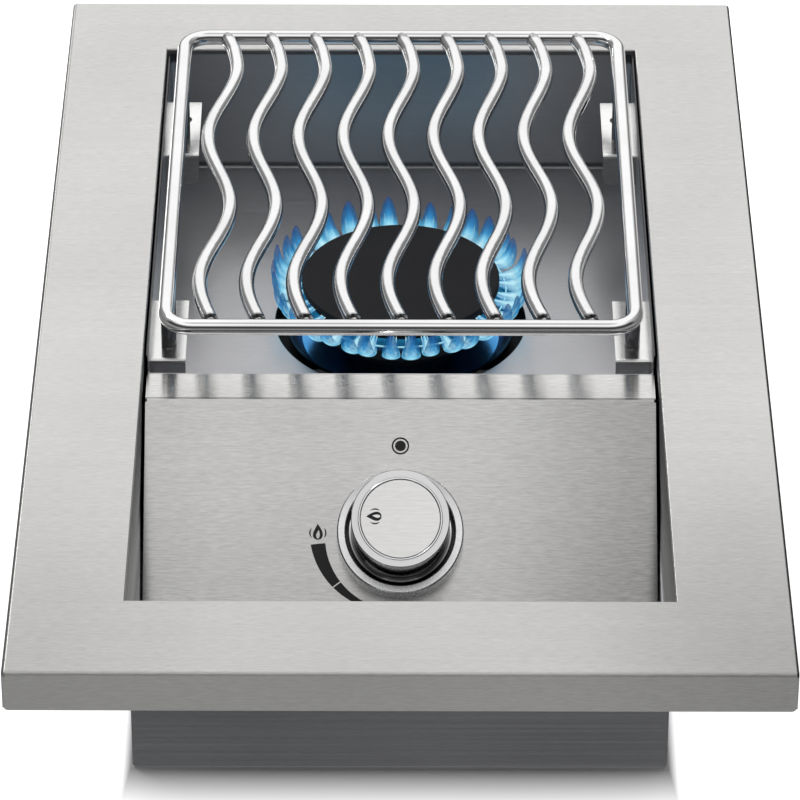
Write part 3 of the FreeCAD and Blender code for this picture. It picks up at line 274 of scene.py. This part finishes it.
def bezel_painted_shade(tree):
    """Painted shade: the bezel's deep recess is painted dark, and the ring is darkened towards its top."""
    radius, up, height = knob_axes(tree)
    inside = add_node(tree, "MapRange", [radius, 27.0, 26.6, 0.0, 0.94])
    deep = add_node(tree, "MapRange", [height, 13.7, 13.3, 0.0, 1.0])
    recess = add_node(tree, "Math", [inside, deep], operation="MULTIPLY")
    top = add_node(tree, "MapRange", [up, 0.0, 28.0, 0.04, 0.42], interpolation_type="SMOOTHSTEP")
    return add_node(tree, "Math", [recess, top], operation="MAXIMUM")


def knob_painted_shade(tree):
    """Painted shade and highlight: the knob's neck is painted dark, its face is darkened round the bead so
    that the bead shows bright, and a fine painted shadow line follows the bead.
    """
    radius, up, height = knob_axes(tree)
    neck = add_node(tree, "MapRange", [height, 36.0, 34.0, 0.0, 0.7], interpolation_type="SMOOTHSTEP")
    inner = add_node(tree, "MapRange", [radius, 24.3, 24.0, 0.0, 1.0])
    face = add_node(tree, "MapRange", [height, KNOB_TOP - 0.6, KNOB_TOP - 0.3, 0.0, 1.0])
    losses = [(0.0, 0.0), (0.60, 0.0), (0.61, 0.7), (0.65, 0.7), (0.67, 0.28), (1.0, 0.24)]
    across = add_node(tree, "MapRange", [radius, 18.4, 21.4, 0.0, 1.0])
    ring = add_node(tree, "ValToRGB", [across], grey_stops(losses))
    head = add_node(tree, "Math", [ring, face], operation="MULTIPLY")
    return add_node(tree, "Math", [add_node(tree, "Math", [neck, inner], operation="MULTIPLY"), head])


def insert_painted_shade(tree):
    """A painted shadow line where the insert meets the knob's bead."""
    radius = knob_axes(tree)[0]
    return add_node(tree, "MapRange", [radius, 18.8, 19.0, 0.0, 0.70])


# Enamel, cast iron, glaze, moulded plastic and ink: no metal shows, and a fine peel 0.7 to 1.1 mm across, as
# on the real ones, breaks up the soft highlights.
def matte_coat(name, color, worn, roughness, grain_size, grain, specular):
    material, tree = start_finish(name)
    fine = surface_grain(tree, (grain_size,) * 3, 3.0, 0.6)
    clouds = surface_grain(tree, (40.0, 40.0, 40.0))
    share = add_node(tree, "MapRange", [clouds, 0.3, 0.7, 0.0, 1.0])
    base = add_node(tree, "Mix", {0: share, 6: srgb(worn), 7: srgb(color)}, data_type="RGBA", output=2)
    speckle = add_node(tree, "MapRange", [fine, 0.3, 0.7, 0.25, -0.25])
    rough = add_node(tree, "MapRange", [fine, 0.3, 0.7, *roughness])
    bump = add_node(tree, "Bump", {"Strength": grain, "Distance": 0.06 * MM, "Height": fine})
    shader = add_node(tree, "BsdfPrincipled", {"Base Color": darken(tree, base, speckle), "Roughness": rough,
                                               "Specular IOR Level": specular, "Normal": bump})
    add_node(tree, "OutputMaterial", [shader])
    return material


def light_gas(tree, color, alpha):
    """Shader of burning gas: it has no surface, only its own light."""
    shader = add_node(tree, "BsdfPrincipled", {"Base Color": srgb("#000000"), "Roughness": 1.0,
                                               "Specular IOR Level": 0.0, "Emission Color": color,
                                               "Emission Strength": 1.0, "Alpha": alpha})
    add_node(tree, "OutputMaterial", [shader])


# Burning gas: a thin glowing sheet, brightest along the two edges of each tongue, cyan at its root and
# a deep blue that turns violet at its tip. The UV runs round the tongue and from its root to its tip.
def burning_gas(name, edge_colors, middle_colors, density):
    material, tree = start_finish(name)
    place = add_node(tree, "TexCoord", output="UV")
    around, along = [add_node(tree, "SeparateXYZ", [place], output=i) for i in range(2)]
    angle = add_node(tree, "Math", [around, 2 * math.pi], operation="MULTIPLY")
    side = add_node(tree, "Math", [add_node(tree, "Math", [angle], operation="COSINE")], operation="ABSOLUTE")
    edge = add_node(tree, "Math", [side, 6.0], operation="POWER")
    middle_stops, edge_stops = [[(position, srgb(code)) for position, code in colors]
                                for colors in (middle_colors, edge_colors)]
    middle_color = add_node(tree, "ValToRGB", [along], middle_stops)
    edge_color = add_node(tree, "ValToRGB", [along], edge_stops)
    color = add_node(tree, "Mix", {0: edge, 6: middle_color, 7: edge_color}, data_type="RGBA", output=2)
    body = add_node(tree, "MapRange", [edge, 0.0, 1.0, density[0], density[1]])
    fade = add_node(tree, "MapRange", [along, 0.50, 1.0, 1.0, density[2]], interpolation_type="SMOOTHSTEP")
    wisps = add_node(tree, "MapRange", [surface_grain(tree, (2.5, 2.5, 2.5)), 0.3, 0.7, 0.70, 1.20])
    solid = add_node(tree, "Math", [body, fade], operation="MULTIPLY")
    alpha = add_node(tree, "Math", [solid, wisps], operation="MULTIPLY", use_clamp=True)
    light_gas(tree, color, alpha)
    return material


# Burning gas between the tongues: a thin glow that fades away from the ports. Its distances from the burner's
# axis and the heights that go with them, compared with the head's top
HAZE_RADII = (HEAD_RADIUS + 3, HEAD_RADIUS + 7, HEAD_RADIUS + 12, HEAD_RADIUS + 17)
HAZE_HEIGHTS = (-2.8, -4.0, -4.3, -1.3)


def gas_glow(name, colors, levels):
    material, tree = start_finish(name)
    share = add_node(tree, "MapRange", [burner_radius(tree), HAZE_RADII[0], HAZE_RADII[-1], 0.0, 1.0])
    wisps = add_node(tree, "MapRange", [surface_grain(tree, (2.5, 2.5, 2.5)), 0.3, 0.7, 0.55, 1.25])
    color = add_node(tree, "ValToRGB", [share], [(position, srgb(code)) for position, code in colors])
    level = add_node(tree, "MapRange", [share, 0.0, 1.0, *levels])
    alpha = add_node(tree, "Math", [level, wisps], operation="MULTIPLY", use_clamp=True)
    light_gas(tree, color, alpha)
    return material


# Trim and panel: belt-brushed stainless sheet, pale, with soft highlights drawn out along the lines
trim_steel = brushed_metal("trim_brushed_stainless", "#E8E7E5", "#E0DFDD", (0.27, 0.36), 0.10, 0.07,
                           trim_painted_shade)
panel_steel = brushed_metal("panel_brushed_stainless", "#E3E2E0", "#DBDAD8", (0.20, 0.26), 0.15, 0.09,
                            panel_painted_shade)
# Tub, bowl and brackets: stainless sheet as rolled, greyer on the tub, bright on the bowl and brackets
tub_steel = brushed_metal("tub_brushed_stainless", "#B0B1B4", "#A8A9AC", (0.38, 0.48), 0.05, 0.06, tub_painted_shade)
bowl_steel = brushed_metal("bowl_bright_stainless", "#D6D6D8", "#CCCCCF", (0.30, 0.38), 0.03, 0.03,
                           bowl_painted_shade, 0.25)
bracket_steel = brushed_metal("bracket_stainless", "#FAFAF8", "#F6F6F4", (0.16, 0.22), 0.05, 0.03,
                              bracket_painted_shade, 0.0)
# Knob insert: brushed aluminium disc, nearly white
insert_metal = brushed_metal("knob_insert_brushed_aluminium", "#F6F5F4", "#EFEEED", (0.18, 0.24), 0.06, 0.04,
                             insert_painted_shade)
# Dish: steel painted blue, a painted reflection of the flames' glow
dish_steel = polished_metal("dish_steel_painted_flame_blue", "#78BCF0", "#68AAE2", (0.16, 0.24), 2.5, 0.05,
                            dish_painted_shadow)
# Grid: polished stainless rod, a mirror along each rod; the legs are painted grey, a painted reflection of
# the dark room round them
frame_steel = polished_metal("grid_frame_polished_stainless", "#F6F6F6", "#ECECEC", (0.07, 0.11), 0.6, 0.12)
rod_steel = polished_metal("rod_polished_stainless", "#F2F2F2", "#E8E8E8", (0.08, 0.14), 0.6, 0.50, rod_end_darkening)
leg_steel = polished_metal("leg_stainless_painted_dark", "#8C8C8E", "#747476", (0.14, 0.22), 0.8, 0.30)
# Pieces inside: dull zinc plate, and a strap blackened by the burner
hidden_steel = polished_metal("zinc_plated_steel", "#9A9A9C", "#88888B", (0.35, 0.50), 2.5, 0.05)
strap_steel = polished_metal("strap_blackened_steel", "#2C2C2E", "#222224", (0.40, 0.50), 2.5, 0.05)
# Bezel and knob: chrome plate, satin on the bezel and bright on the knob
bezel_chrome = polished_metal("bezel_satin_chrome", "#F8F8F9", "#F2F2F3", (0.24, 0.30), 2.5, 0.02,
                              bezel_painted_shade)
knob_chrome = polished_metal("knob_chrome", "#F0F0F1", "#E9E9EA", (0.08, 0.12), 2.5, 0.02, knob_painted_shade)
# Gas fittings: turned brass, yellow and satin, and a pale aluminium tube
brass = polished_metal("machined_brass", "#C9A55A", "#B8934A", (0.25, 0.35), 2.5, 0.05)
pipe_metal = polished_metal("supply_pipe_aluminium", "#C2C2C4", "#B5B5B8", (0.30, 0.40), 2.5, 0.05)
# Cap: matte black enamel; head and base: cast iron, black and dark grey
cap_enamel = matte_coat("cap_matte_enamel", "#232326", "#1C1C1F", (0.55, 0.68), 1.1, 0.20, 0.22)
head_iron = matte_coat("burner_cast_iron", "#161617", "#101011", (0.55, 0.70), 1.1, 0.20, 0.30)
base_iron = matte_coat("burner_cast_base", "#2C2C2F", "#242427", (0.45, 0.60), 1.1, 0.40, 0.30)
# Electrode: glossy white glazed ceramic; igniter: moulded black plastic; marks: flat black ink
ceramic = matte_coat("glazed_ceramic", "#EEEBE2", "#E4E1D8", (0.12, 0.20), 1.1, 0.05, 0.50)
module_plastic = matte_coat("module_moulded_plastic", "#1B1B1C", "#141415", (0.40, 0.50), 1.1, 0.10, 0.50)
printed_ink = matte_coat("screen_printed_ink", "#111112", "#0C0C0D", (0.40, 0.50), 0.7, 0.05, 0.40)
# Gas: cyan at the ports, white-blue where a tongue bends up, deep blue to violet at its tip
gas_tongue = burning_gas("burning_gas_tongue",
                         [(0.0, "#8CD8F2"), (0.44, "#C4F0FC"), (0.54, "#8CD8F4"), (0.62, "#3C94CC"),
                          (0.74, "#2468A4"), (1.0, "#2C4478")],
                         [(0.0, "#3CA6DA"), (0.18, "#1E78B0"), (0.34, "#2084C0"), (0.45, "#94DCF6"),
                          (0.52, "#4CACDC"), (0.60, "#1C6498"), (0.80, "#184A7C"), (1.0, "#443872")],
                         (0.55, 0.92, 0.62))
gas_streak = burning_gas("burning_gas_streak",
                         [(0.0, "#D8F8FF"), (0.5, "#B4ECFC"), (1.0, "#6CC8F0")],
                         [(0.0, "#E8FBFF"), (0.5, "#CCF4FE"), (1.0, "#8CD8F4")], (0.75, 0.95, 0.40))
gas_haze = gas_glow("burning_gas_haze", [(0.0, "#2890C8"), (0.5, "#144C78"), (1.0, "#0E2C4C")], (0.34, 0.04))
gas_line = gas_glow("burning_gas_line", [(0.0, "#A8E8FA"), (1.0, "#A8E8FA")], (0.90, 0.80))

FINISHES = {
    trim_steel: ("trim_frame",),
    tub_steel: ("tub",),
    bowl_steel: ("bowl",),
    dish_steel: ("drip_dish",),
    panel_steel: ("control_panel",),
    bracket_steel: ("grid_bracket_front_left", "grid_bracket_front_right", "grid_bracket_rear_left",
                    "grid_bracket_rear_right"),
    frame_steel: ("grid_frame",),
    rod_steel: ("grid_wave_rods",),
    leg_steel: ("grid_legs",),
    cap_enamel: ("burner_cap",),
    head_iron: ("burner_head",),
    base_iron: ("burner_base",),
    strap_steel: ("burner_strap",),
    hidden_steel: ("venturi_tube", "air_shutter", "valve_stem", "valve_spring", "electrode_rod",
                   "bowl_standoffs", "burner_screws", "valve_screws", "panel_screws"),
    brass: ("shutter_lock_screw", "valve_body", "valve_cover", "valve_plug", "gas_jet", "inlet_fitting",
            "bulkhead_nut", "pipe_nuts"),
    bezel_chrome: ("knob_bezel",),
    knob_chrome: ("knob_body",),
    insert_metal: ("knob_insert",),
    module_plastic: ("igniter_module",),
    ceramic: ("electrode_ceramic",),
    pipe_metal: ("supply_pipe",),
}
for finish, names in FINISHES.items():
    for name in names:
        nodes[name].data.materials.clear()
        nodes[name].data.materials.append(finish)


def add_modifier(kind, **settings):
    """Add a modifier to the active object and apply it."""
    bpy.ops.object.modifier_add(type=kind)
    modifier = bpy.context.object.modifiers[-1]
    for name, value in settings.items():
        setattr(modifier, name, value)
    bpy.ops.object.modifier_apply(modifier=modifier.name)


def settle(name, finish, body, place=Matrix()):
    """Put the active object in its place in its mesh, with its finish, riding on its body."""
    piece = bpy.context.object
    piece.name = piece.data.name = name
    piece.matrix_world = place
    bpy.ops.object.transform_apply(location=True, rotation=True, scale=True)
    piece.data.materials.clear()
    piece.data.materials.append(finish)
    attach(piece, body)
    return piece


# Printed marks: ink layers 0.06 mm thick, drawn flat round the knob's axis and laid on the panel or knob,
# 0.08 mm above it
INK = 0.06 * MM
INK_TOP = 0.08


def on_panel(height, x=0.0, y=0.0):
    """Place in the panel's plane, in millimetres from the knob's axis, at a height above the panel."""
    turn = Matrix.Rotation(PANEL_ANGLE, 4, "X")
    shift = Matrix.Translation((x * MM, y * MM, height * MM))
    return Matrix.Translation(KNOB_AXIS * MM) @ turn @ shift


def mark_ring(name, radius, width, x, y):
    """Ring of ink on the panel."""
    bpy.ops.object.select_all(action="DESELECT")
    bpy.ops.mesh.primitive_circle_add(vertices=64, radius=radius * MM)
    bpy.ops.object.mode_set(mode="EDIT")
    bpy.ops.mesh.extrude_region_move()
    inner = (radius - width) / radius
    bpy.ops.transform.resize(value=(inner, inner, 1.0), center_override=(0, 0, 0))
    bpy.ops.object.mode_set(mode="OBJECT")
    add_modifier("SOLIDIFY", thickness=INK)
    return settle(name, printed_ink, "housing", on_panel(INK_TOP, x, y))


def mark_dot(name, radius, x, y):
    """Round dot of ink on the panel."""
    bpy.ops.object.select_all(action="DESELECT")
    bpy.ops.mesh.primitive_circle_add(vertices=48, radius=radius * MM, fill_type="NGON")
    bpy.ops.object.mode_set(mode="EDIT")
    bpy.ops.mesh.inset(thickness=0.1 * MM)
    bpy.ops.object.mode_set(mode="OBJECT")
    add_modifier("SOLIDIFY", thickness=INK)
    return settle(name, printed_ink, "housing", on_panel(INK_TOP, x, y))


# The dial's wedge lies between a circle round the knob's axis and a larger one off its centre
WEDGE_INNER = 36.6
WEDGE_OUTER = 40.05
WEDGE_CENTRE = (-4.16, 3.05)


def mark_wedge(name, start, end):
    """Part of the wedge between two angles round the knob's axis."""
    bpy.ops.object.select_all(action="DESELECT")
    bpy.ops.mesh.primitive_circle_add(vertices=180, radius=WEDGE_INNER * MM)
    bpy.ops.object.mode_set(mode="EDIT")
    bpy.ops.mesh.extrude_region_move()
    wider = WEDGE_OUTER / WEDGE_INNER
    bpy.ops.transform.resize(value=(wider, wider, 1.0), center_override=(0, 0, 0))
    bpy.ops.transform.translate(value=(WEDGE_CENTRE[0] * MM, WEDGE_CENTRE[1] * MM, 0))
    for angle, side in ((start, 1), (end, -1)):
        turn = math.radians(angle)
        bpy.ops.mesh.select_all(action="SELECT")
        bpy.ops.mesh.bisect(plane_co=(0, 0, 0), plane_no=(-math.sin(turn) * side, math.cos(turn) * side, 0),
                            clear_inner=True)
    bpy.ops.object.mode_set(mode="OBJECT")
    add_modifier("SOLIDIFY", thickness=INK)
    return settle(name, printed_ink, "housing", on_panel(INK_TOP))


# Flame symbol, as places with their two handles on a height of 1: a drop, the tongue left open in it, and an
# arc on each side
FLAME_MARK = ((((-0.02, 0.50), (0.08, 0.36), (-0.06, 0.34)), ((-0.30, -0.16), (-0.28, 0.06), (-0.32, -0.38)),
               ((0.00, -0.50), (-0.16, -0.50), (0.16, -0.50)), ((0.30, -0.14), (0.32, -0.38), (0.28, 0.10))),
              (((0.06, 0.12), (0.08, 0.02), (0.00, 0.02)), ((-0.10, -0.24), (-0.10, -0.12), (-0.10, -0.34)),
               ((0.00, -0.42), (-0.06, -0.42), (0.06, -0.42)), ((0.12, -0.22), (0.12, -0.34), (0.12, -0.10))),
              (((-0.37, 0.24), (-0.46, 0.04), (-0.58, 0.08)),
               ((-0.37, -0.38), (-0.58, -0.24), (-0.46, -0.18))),
              (((0.37, 0.24), (0.46, 0.04), (0.58, 0.08)),
               ((0.37, -0.38), (0.58, -0.24), (0.46, -0.18))))


def mark_flame(name, height, body, place):
    """Flame symbol of ink."""
    bpy.ops.object.select_all(action="DESELECT")
    bpy.ops.curve.primitive_bezier_circle_add(radius=MM)
    curve = bpy.context.object.data
    curve.dimensions = "2D"
    curve.fill_mode = "BOTH"
    curve.splines.clear()
    for outline in FLAME_MARK:
        spline = curve.splines.new("BEZIER")
        spline.bezier_points.add(len(outline) - 1)
        spline.use_cyclic_u = True
        for point, places in zip(spline.bezier_points, outline):
            point.handle_left_type = point.handle_right_type = "FREE"
            point.co, point.handle_left, point.handle_right = [(x * height * MM, y * height * MM, 0)
                                                               for x, y in places]
    bpy.ops.object.convert(target="MESH")
    add_modifier("SOLIDIFY", thickness=INK)
    return settle(name, printed_ink, body, place)


OFF_MARK_UP = 45.4
mark_ring("mark_off_ring", 4.3, 0.8, 0.0, OFF_MARK_UP)
mark_dot("mark_off_dot", 2.65, 0.0, OFF_MARK_UP)
mark_flame("mark_high_flame", 8.0, "housing", on_panel(INK_TOP, -40.15, 2.5))
mark_wedge("mark_dial_wedge_high", 185.0, 217.0)
mark_wedge("mark_dial_wedge_low", 217.9, 269.0)
mark_flame("knob_pointer", 7.4, "control_knob",
           on_panel(KNOB_TOP + INK_TOP, -12.7, 1.15) @ Matrix.Rotation(math.radians(90), 4, "Z"))


# Burning gas: a tongue with two bright streaks at each port, a glow between them and a line round the ports.
# Way of the gas from a port: distance from the head's rim, height compared with its top, and share of the
# tongue's width
FLAME_WAY = ((0.6, -2.5, 0.45), (8.5, -5.1, 0.95), (15.2, -4.8, 1.15), (18.8, 1.1, 1.05), (19.8, 11.1, 0.95))
STREAK_OFFSET = 0.030
LINE_RADIUS = HEAD_RADIUS + 8
LINE_DROP = 4.4
ELECTRODE_GAP = 8.0


def flame_place(distance, rise):
    """Place over the X axis, before the burner's axis is moved to its own."""
    return Vector((HEAD_RADIUS + distance, 0, HEAD_TOP + rise)) * MM


def flame_path():
    """Curve that a port's gas follows."""
    bpy.ops.object.select_all(action="DESELECT")
    bpy.ops.curve.primitive_bezier_curve_add()
    path = bpy.context.object
    path.data.use_radius = True
    points = path.data.splines[0].bezier_points
    points.add(len(FLAME_WAY) - 2)
    for point, (distance, rise, width) in zip(points, FLAME_WAY):
        point.co = flame_place(distance, rise)
        point.radius = width
        point.handle_left_type = point.handle_right_type = "AUTO"
    return path


def flame_tongue(path, length, width, thickness):
    """Ball drawn out along +X and bent along the path."""
    bpy.ops.object.select_all(action="DESELECT")
    bpy.ops.mesh.primitive_uv_sphere_add(segments=20, ring_count=16, radius=MM, rotation=(0, math.pi / 2, 0))
    bpy.ops.object.transform_apply(rotation=True)
    bpy.ops.object.mode_set(mode="EDIT")
    bpy.ops.mesh.select_all(action="SELECT")
    bpy.ops.transform.resize(value=(length / 2, width / 2, thickness / 2), center_override=(-MM, 0, 0))
    bpy.ops.transform.translate(value=(MM, 0, 0))
    bpy.ops.object.mode_set(mode="OBJECT")
    bpy.ops.object.shade_smooth()
    add_modifier("CURVE", object=path, deform_axis="POS_X")
    return bpy.context.object


def copy_round(name, finish, tongue, offset):
    """One copy of a tongue for each port, each a little different. Those in front are kept out of the metal's
    reflections, where they would show as streaks on the bowl's floor."""
    root = Matrix.Translation(flame_place(*FLAME_WAY[0][:2]))
    for i in range(PORT_COUNT):
        angle = 2 * math.pi * (i + 0.5) / PORT_COUNT + 0.02 * math.sin(i * 3.7 + 0.6)
        flicker = math.sin(i * 2.4) + math.sin(i * 5.1 + 1.0)
        spread = 1.0 + 0.05 * flicker + 0.35 * abs(math.cos(angle)) ** 2
        bpy.ops.object.select_all(action="DESELECT")
        tongue.select_set(True)
        bpy.context.view_layer.objects.active = tongue
        bpy.ops.object.duplicate()
        size = Matrix.Diagonal((1.0 + 0.02 * flicker, spread, 1.0 + 0.06 * flicker, 1.0))
        place = (Matrix.Translation((0, BURNER_Y * MM, 0)) @ Matrix.Rotation(angle + offset, 4, "Z")
                 @ root @ size @ root.inverted())
        flame = settle("%s_%02d" % (name, i), finish, "burner_head", place)
        flame.visible_shadow = False
        flame.visible_glossy = math.sin(angle) > 0
    bpy.data.objects.remove(tongue)


def open_at_electrode():
    """Take away the part of a ring of gas that would reach the electrode behind the burner."""
    ring = bpy.context.object
    bpy.ops.object.mode_set(mode="EDIT")
    bpy.ops.mesh.select_mode(type="FACE")
    bpy.ops.mesh.select_all(action="DESELECT")
    bpy.ops.object.mode_set(mode="OBJECT")
    for face in ring.data.polygons:
        face.select = face.center.y > 0 and abs(face.center.x) < ELECTRODE_GAP * MM
    bpy.ops.object.mode_set(mode="EDIT")
    bpy.ops.mesh.delete(type="FACE")
    bpy.ops.object.mode_set(mode="OBJECT")


def light_burner():
    path = flame_path()
    copy_round("flame_tongue", gas_tongue, flame_tongue(path, length=32.0, width=8.2, thickness=3.4), 0.0)
    for side in (-1, 1):
        streak = flame_tongue(path, length=23.0, width=1.5, thickness=1.2)
        copy_round("flame_streak_" + "lr"[side > 0], gas_streak, streak, side * STREAK_OFFSET)
    bpy.data.objects.remove(path)

    burner = Matrix.Translation((0, BURNER_Y * MM, 0))
    bpy.ops.object.select_all(action="DESELECT")
    bpy.ops.mesh.primitive_circle_add(vertices=4 * PORT_COUNT, radius=HAZE_RADII[0] * MM,
                                      location=(0, 0, (HEAD_TOP + HAZE_HEIGHTS[0]) * MM))
    bpy.ops.object.mode_set(mode="EDIT")
    for i in range(1, len(HAZE_RADII)):
        wider = HAZE_RADII[i] / HAZE_RADII[i - 1]
        bpy.ops.mesh.extrude_region_move()
        bpy.ops.transform.resize(value=(wider, wider, 1.0), center_override=(0, 0, 0))
        bpy.ops.transform.translate(value=(0, 0, (HAZE_HEIGHTS[i] - HAZE_HEIGHTS[i - 1]) * MM))
    bpy.ops.object.mode_set(mode="OBJECT")
    open_at_electrode()
    bpy.ops.object.transform_apply(location=True)
    add_modifier("SOLIDIFY", thickness=0.2 * MM)
    bpy.ops.object.shade_smooth()
    settle("flame_haze", gas_haze, "burner_head", burner).visible_shadow = False

    bpy.ops.object.select_all(action="DESELECT")
    bpy.ops.mesh.primitive_torus_add(major_radius=LINE_RADIUS * MM, minor_radius=0.45 * MM,
                                     major_segments=4 * PORT_COUNT, minor_segments=8)
    open_at_electrode()
    bpy.ops.object.shade_smooth()
    line_place = burner @ Matrix.Translation((0, 0, (HEAD_TOP - LINE_DROP) * MM))
    settle("flame_line", gas_line, "burner_head", line_place).visible_shadow = False


light_burner()


# Studio: pale floor, soft light from above and behind, one lamp, and the camera
def add_floor():
    """Pale floor that glows everywhere but under the tub and just before and behind it, where the missing
    glow is a painted shadow round the tub's real shade.
    """
    bpy.ops.object.select_all(action="DESELECT")
    bpy.ops.mesh.primitive_plane_add(size=12)
    floor = bpy.context.object
    floor.name = "floor"
    material, tree = start_finish("studio_floor")
    clouds = surface_grain(tree, (500.0, 500.0, 500.0))
    color = add_node(tree, "Mix", {0: clouds, 6: srgb("#F6F6F6"), 7: srgb("#FAFAFA")}, data_type="RGBA",
                     output=2)
    x, y, z = part_axes(tree)
    aside = add_node(tree, "Math", [x], operation="ABSOLUTE")
    beside = add_node(tree, "MapRange", [aside, 128.5, 132.5, 0.0, 0.85])
    before = add_node(tree, "MapRange", [y, -219.5, -248.0, 0.0, 0.85])
    behind = add_node(tree, "MapRange", [y, 256.0, 290.0, 0.0, 0.85])
    ends = add_node(tree, "Math", [before, behind], operation="MAXIMUM")
    lit = add_node(tree, "Math", [beside, ends], operation="MAXIMUM")
    shader = add_node(tree, "BsdfPrincipled", {"Base Color": color, "Roughness": 0.9,
                                               "Specular IOR Level": 0.1, "Emission Color": srgb("#FFFFFF"),
                                               "Emission Strength": lit})
    add_node(tree, "OutputMaterial", [shader])
    floor.data.materials.append(material)
    floor.visible_glossy = False


def add_world():
    """A wide soft box behind and above, a dim room at the sides, a grey room with a dark band in front."""
    world = bpy.data.worlds.new("studio")
    bpy.context.scene.world = world
    world.use_nodes = True
    tree = world.node_tree
    tree.nodes.clear()
    place = add_node(tree, "TexCoord", output="Generated")
    x, y, z = [add_node(tree, "SeparateXYZ", [place], output=i) for i in range(3)]
    height = add_node(tree, "Math", [z, 0.5, 0.5], operation="MULTIPLY_ADD")
    back = [(0.0, 0.34), (0.42, 0.30), (0.49, 0.12), (0.53, 0.12), (0.58, 0.95), (0.66, 1.08), (0.975, 1.08),
            (1.0, 0.50)]
    side = [(0.0, 0.34), (0.45, 0.24), (0.52, 0.18), (0.70, 0.26), (0.82, 0.42), (0.93, 0.80), (1.0, 0.50)]
    front = [(0.0, 0.42), (0.30, 0.38), (0.50, 0.30), (0.57, 0.20), (0.64, 0.08), (0.71, 0.03), (0.78, 0.05),
             (0.85, 0.32), (0.90, 0.95), (0.975, 1.10), (1.0, 0.50)]
    rooms = []
    for levels in (back, side, front):
        rooms.append(add_node(tree, "ValToRGB", [height], grey_stops(levels)))
    apart = add_node(tree, "Math", [x], operation="ABSOLUTE")
    to_side = add_node(tree, "MapRange", [apart, 0.38, 0.58, 0.0, 1.0], interpolation_type="SMOOTHSTEP")
    to_back = add_node(tree, "MapRange", [y, -0.15, 0.15, 0.0, 1.0], interpolation_type="SMOOTHSTEP")
    behind = add_node(tree, "Mix", {0: to_side, 6: rooms[0], 7: rooms[1]}, data_type="RGBA", output=2)
    color = add_node(tree, "Mix", {0: to_back, 6: rooms[2], 7: behind}, data_type="RGBA", output=2)
    add_node(tree, "OutputWorld", [add_node(tree, "Background", {"Color": color, "Strength": 1.0})])


def add_lamp(name, place, target, size, power):
    """Square lamp that faces a target."""
    data = bpy.data.lights.new(name, "AREA")
    data.size = size
    data.energy = power
    lamp = bpy.data.objects.new(name, data)
    lamp.location = place
    lamp.rotation_euler = (Vector(target) - Vector(place)).to_track_quat("-Z", "Y").to_euler()
    bpy.context.scene.collection.objects.link(lamp)


def add_camera():
    """Camera at the photograph's place, from a fit to the straight edges of trim, bowl, panel and grid."""
    data = bpy.data.cameras.new("camera")
    data.lens = 228.82
    data.sensor_width = 36.0
    data.clip_start = 0.05
    data.clip_end = 50.0
    camera = bpy.data.objects.new("camera", data)
    camera.location = (-0.0012, -2.1327, 1.5041)
    camera.rotation_euler = [math.radians(angle) for angle in (55.984, -0.117, 0.053)]
    bpy.context.scene.collection.objects.link(camera)
    bpy.context.scene.camera = camera


add_floor()
add_world()
add_lamp("key_left_back", (-0.9, 0.75, 1.5), (0, 0, 0.1), 0.5, 8)
add_camera()
bpy.context.scene.view_settings.view_transform = "Standard"
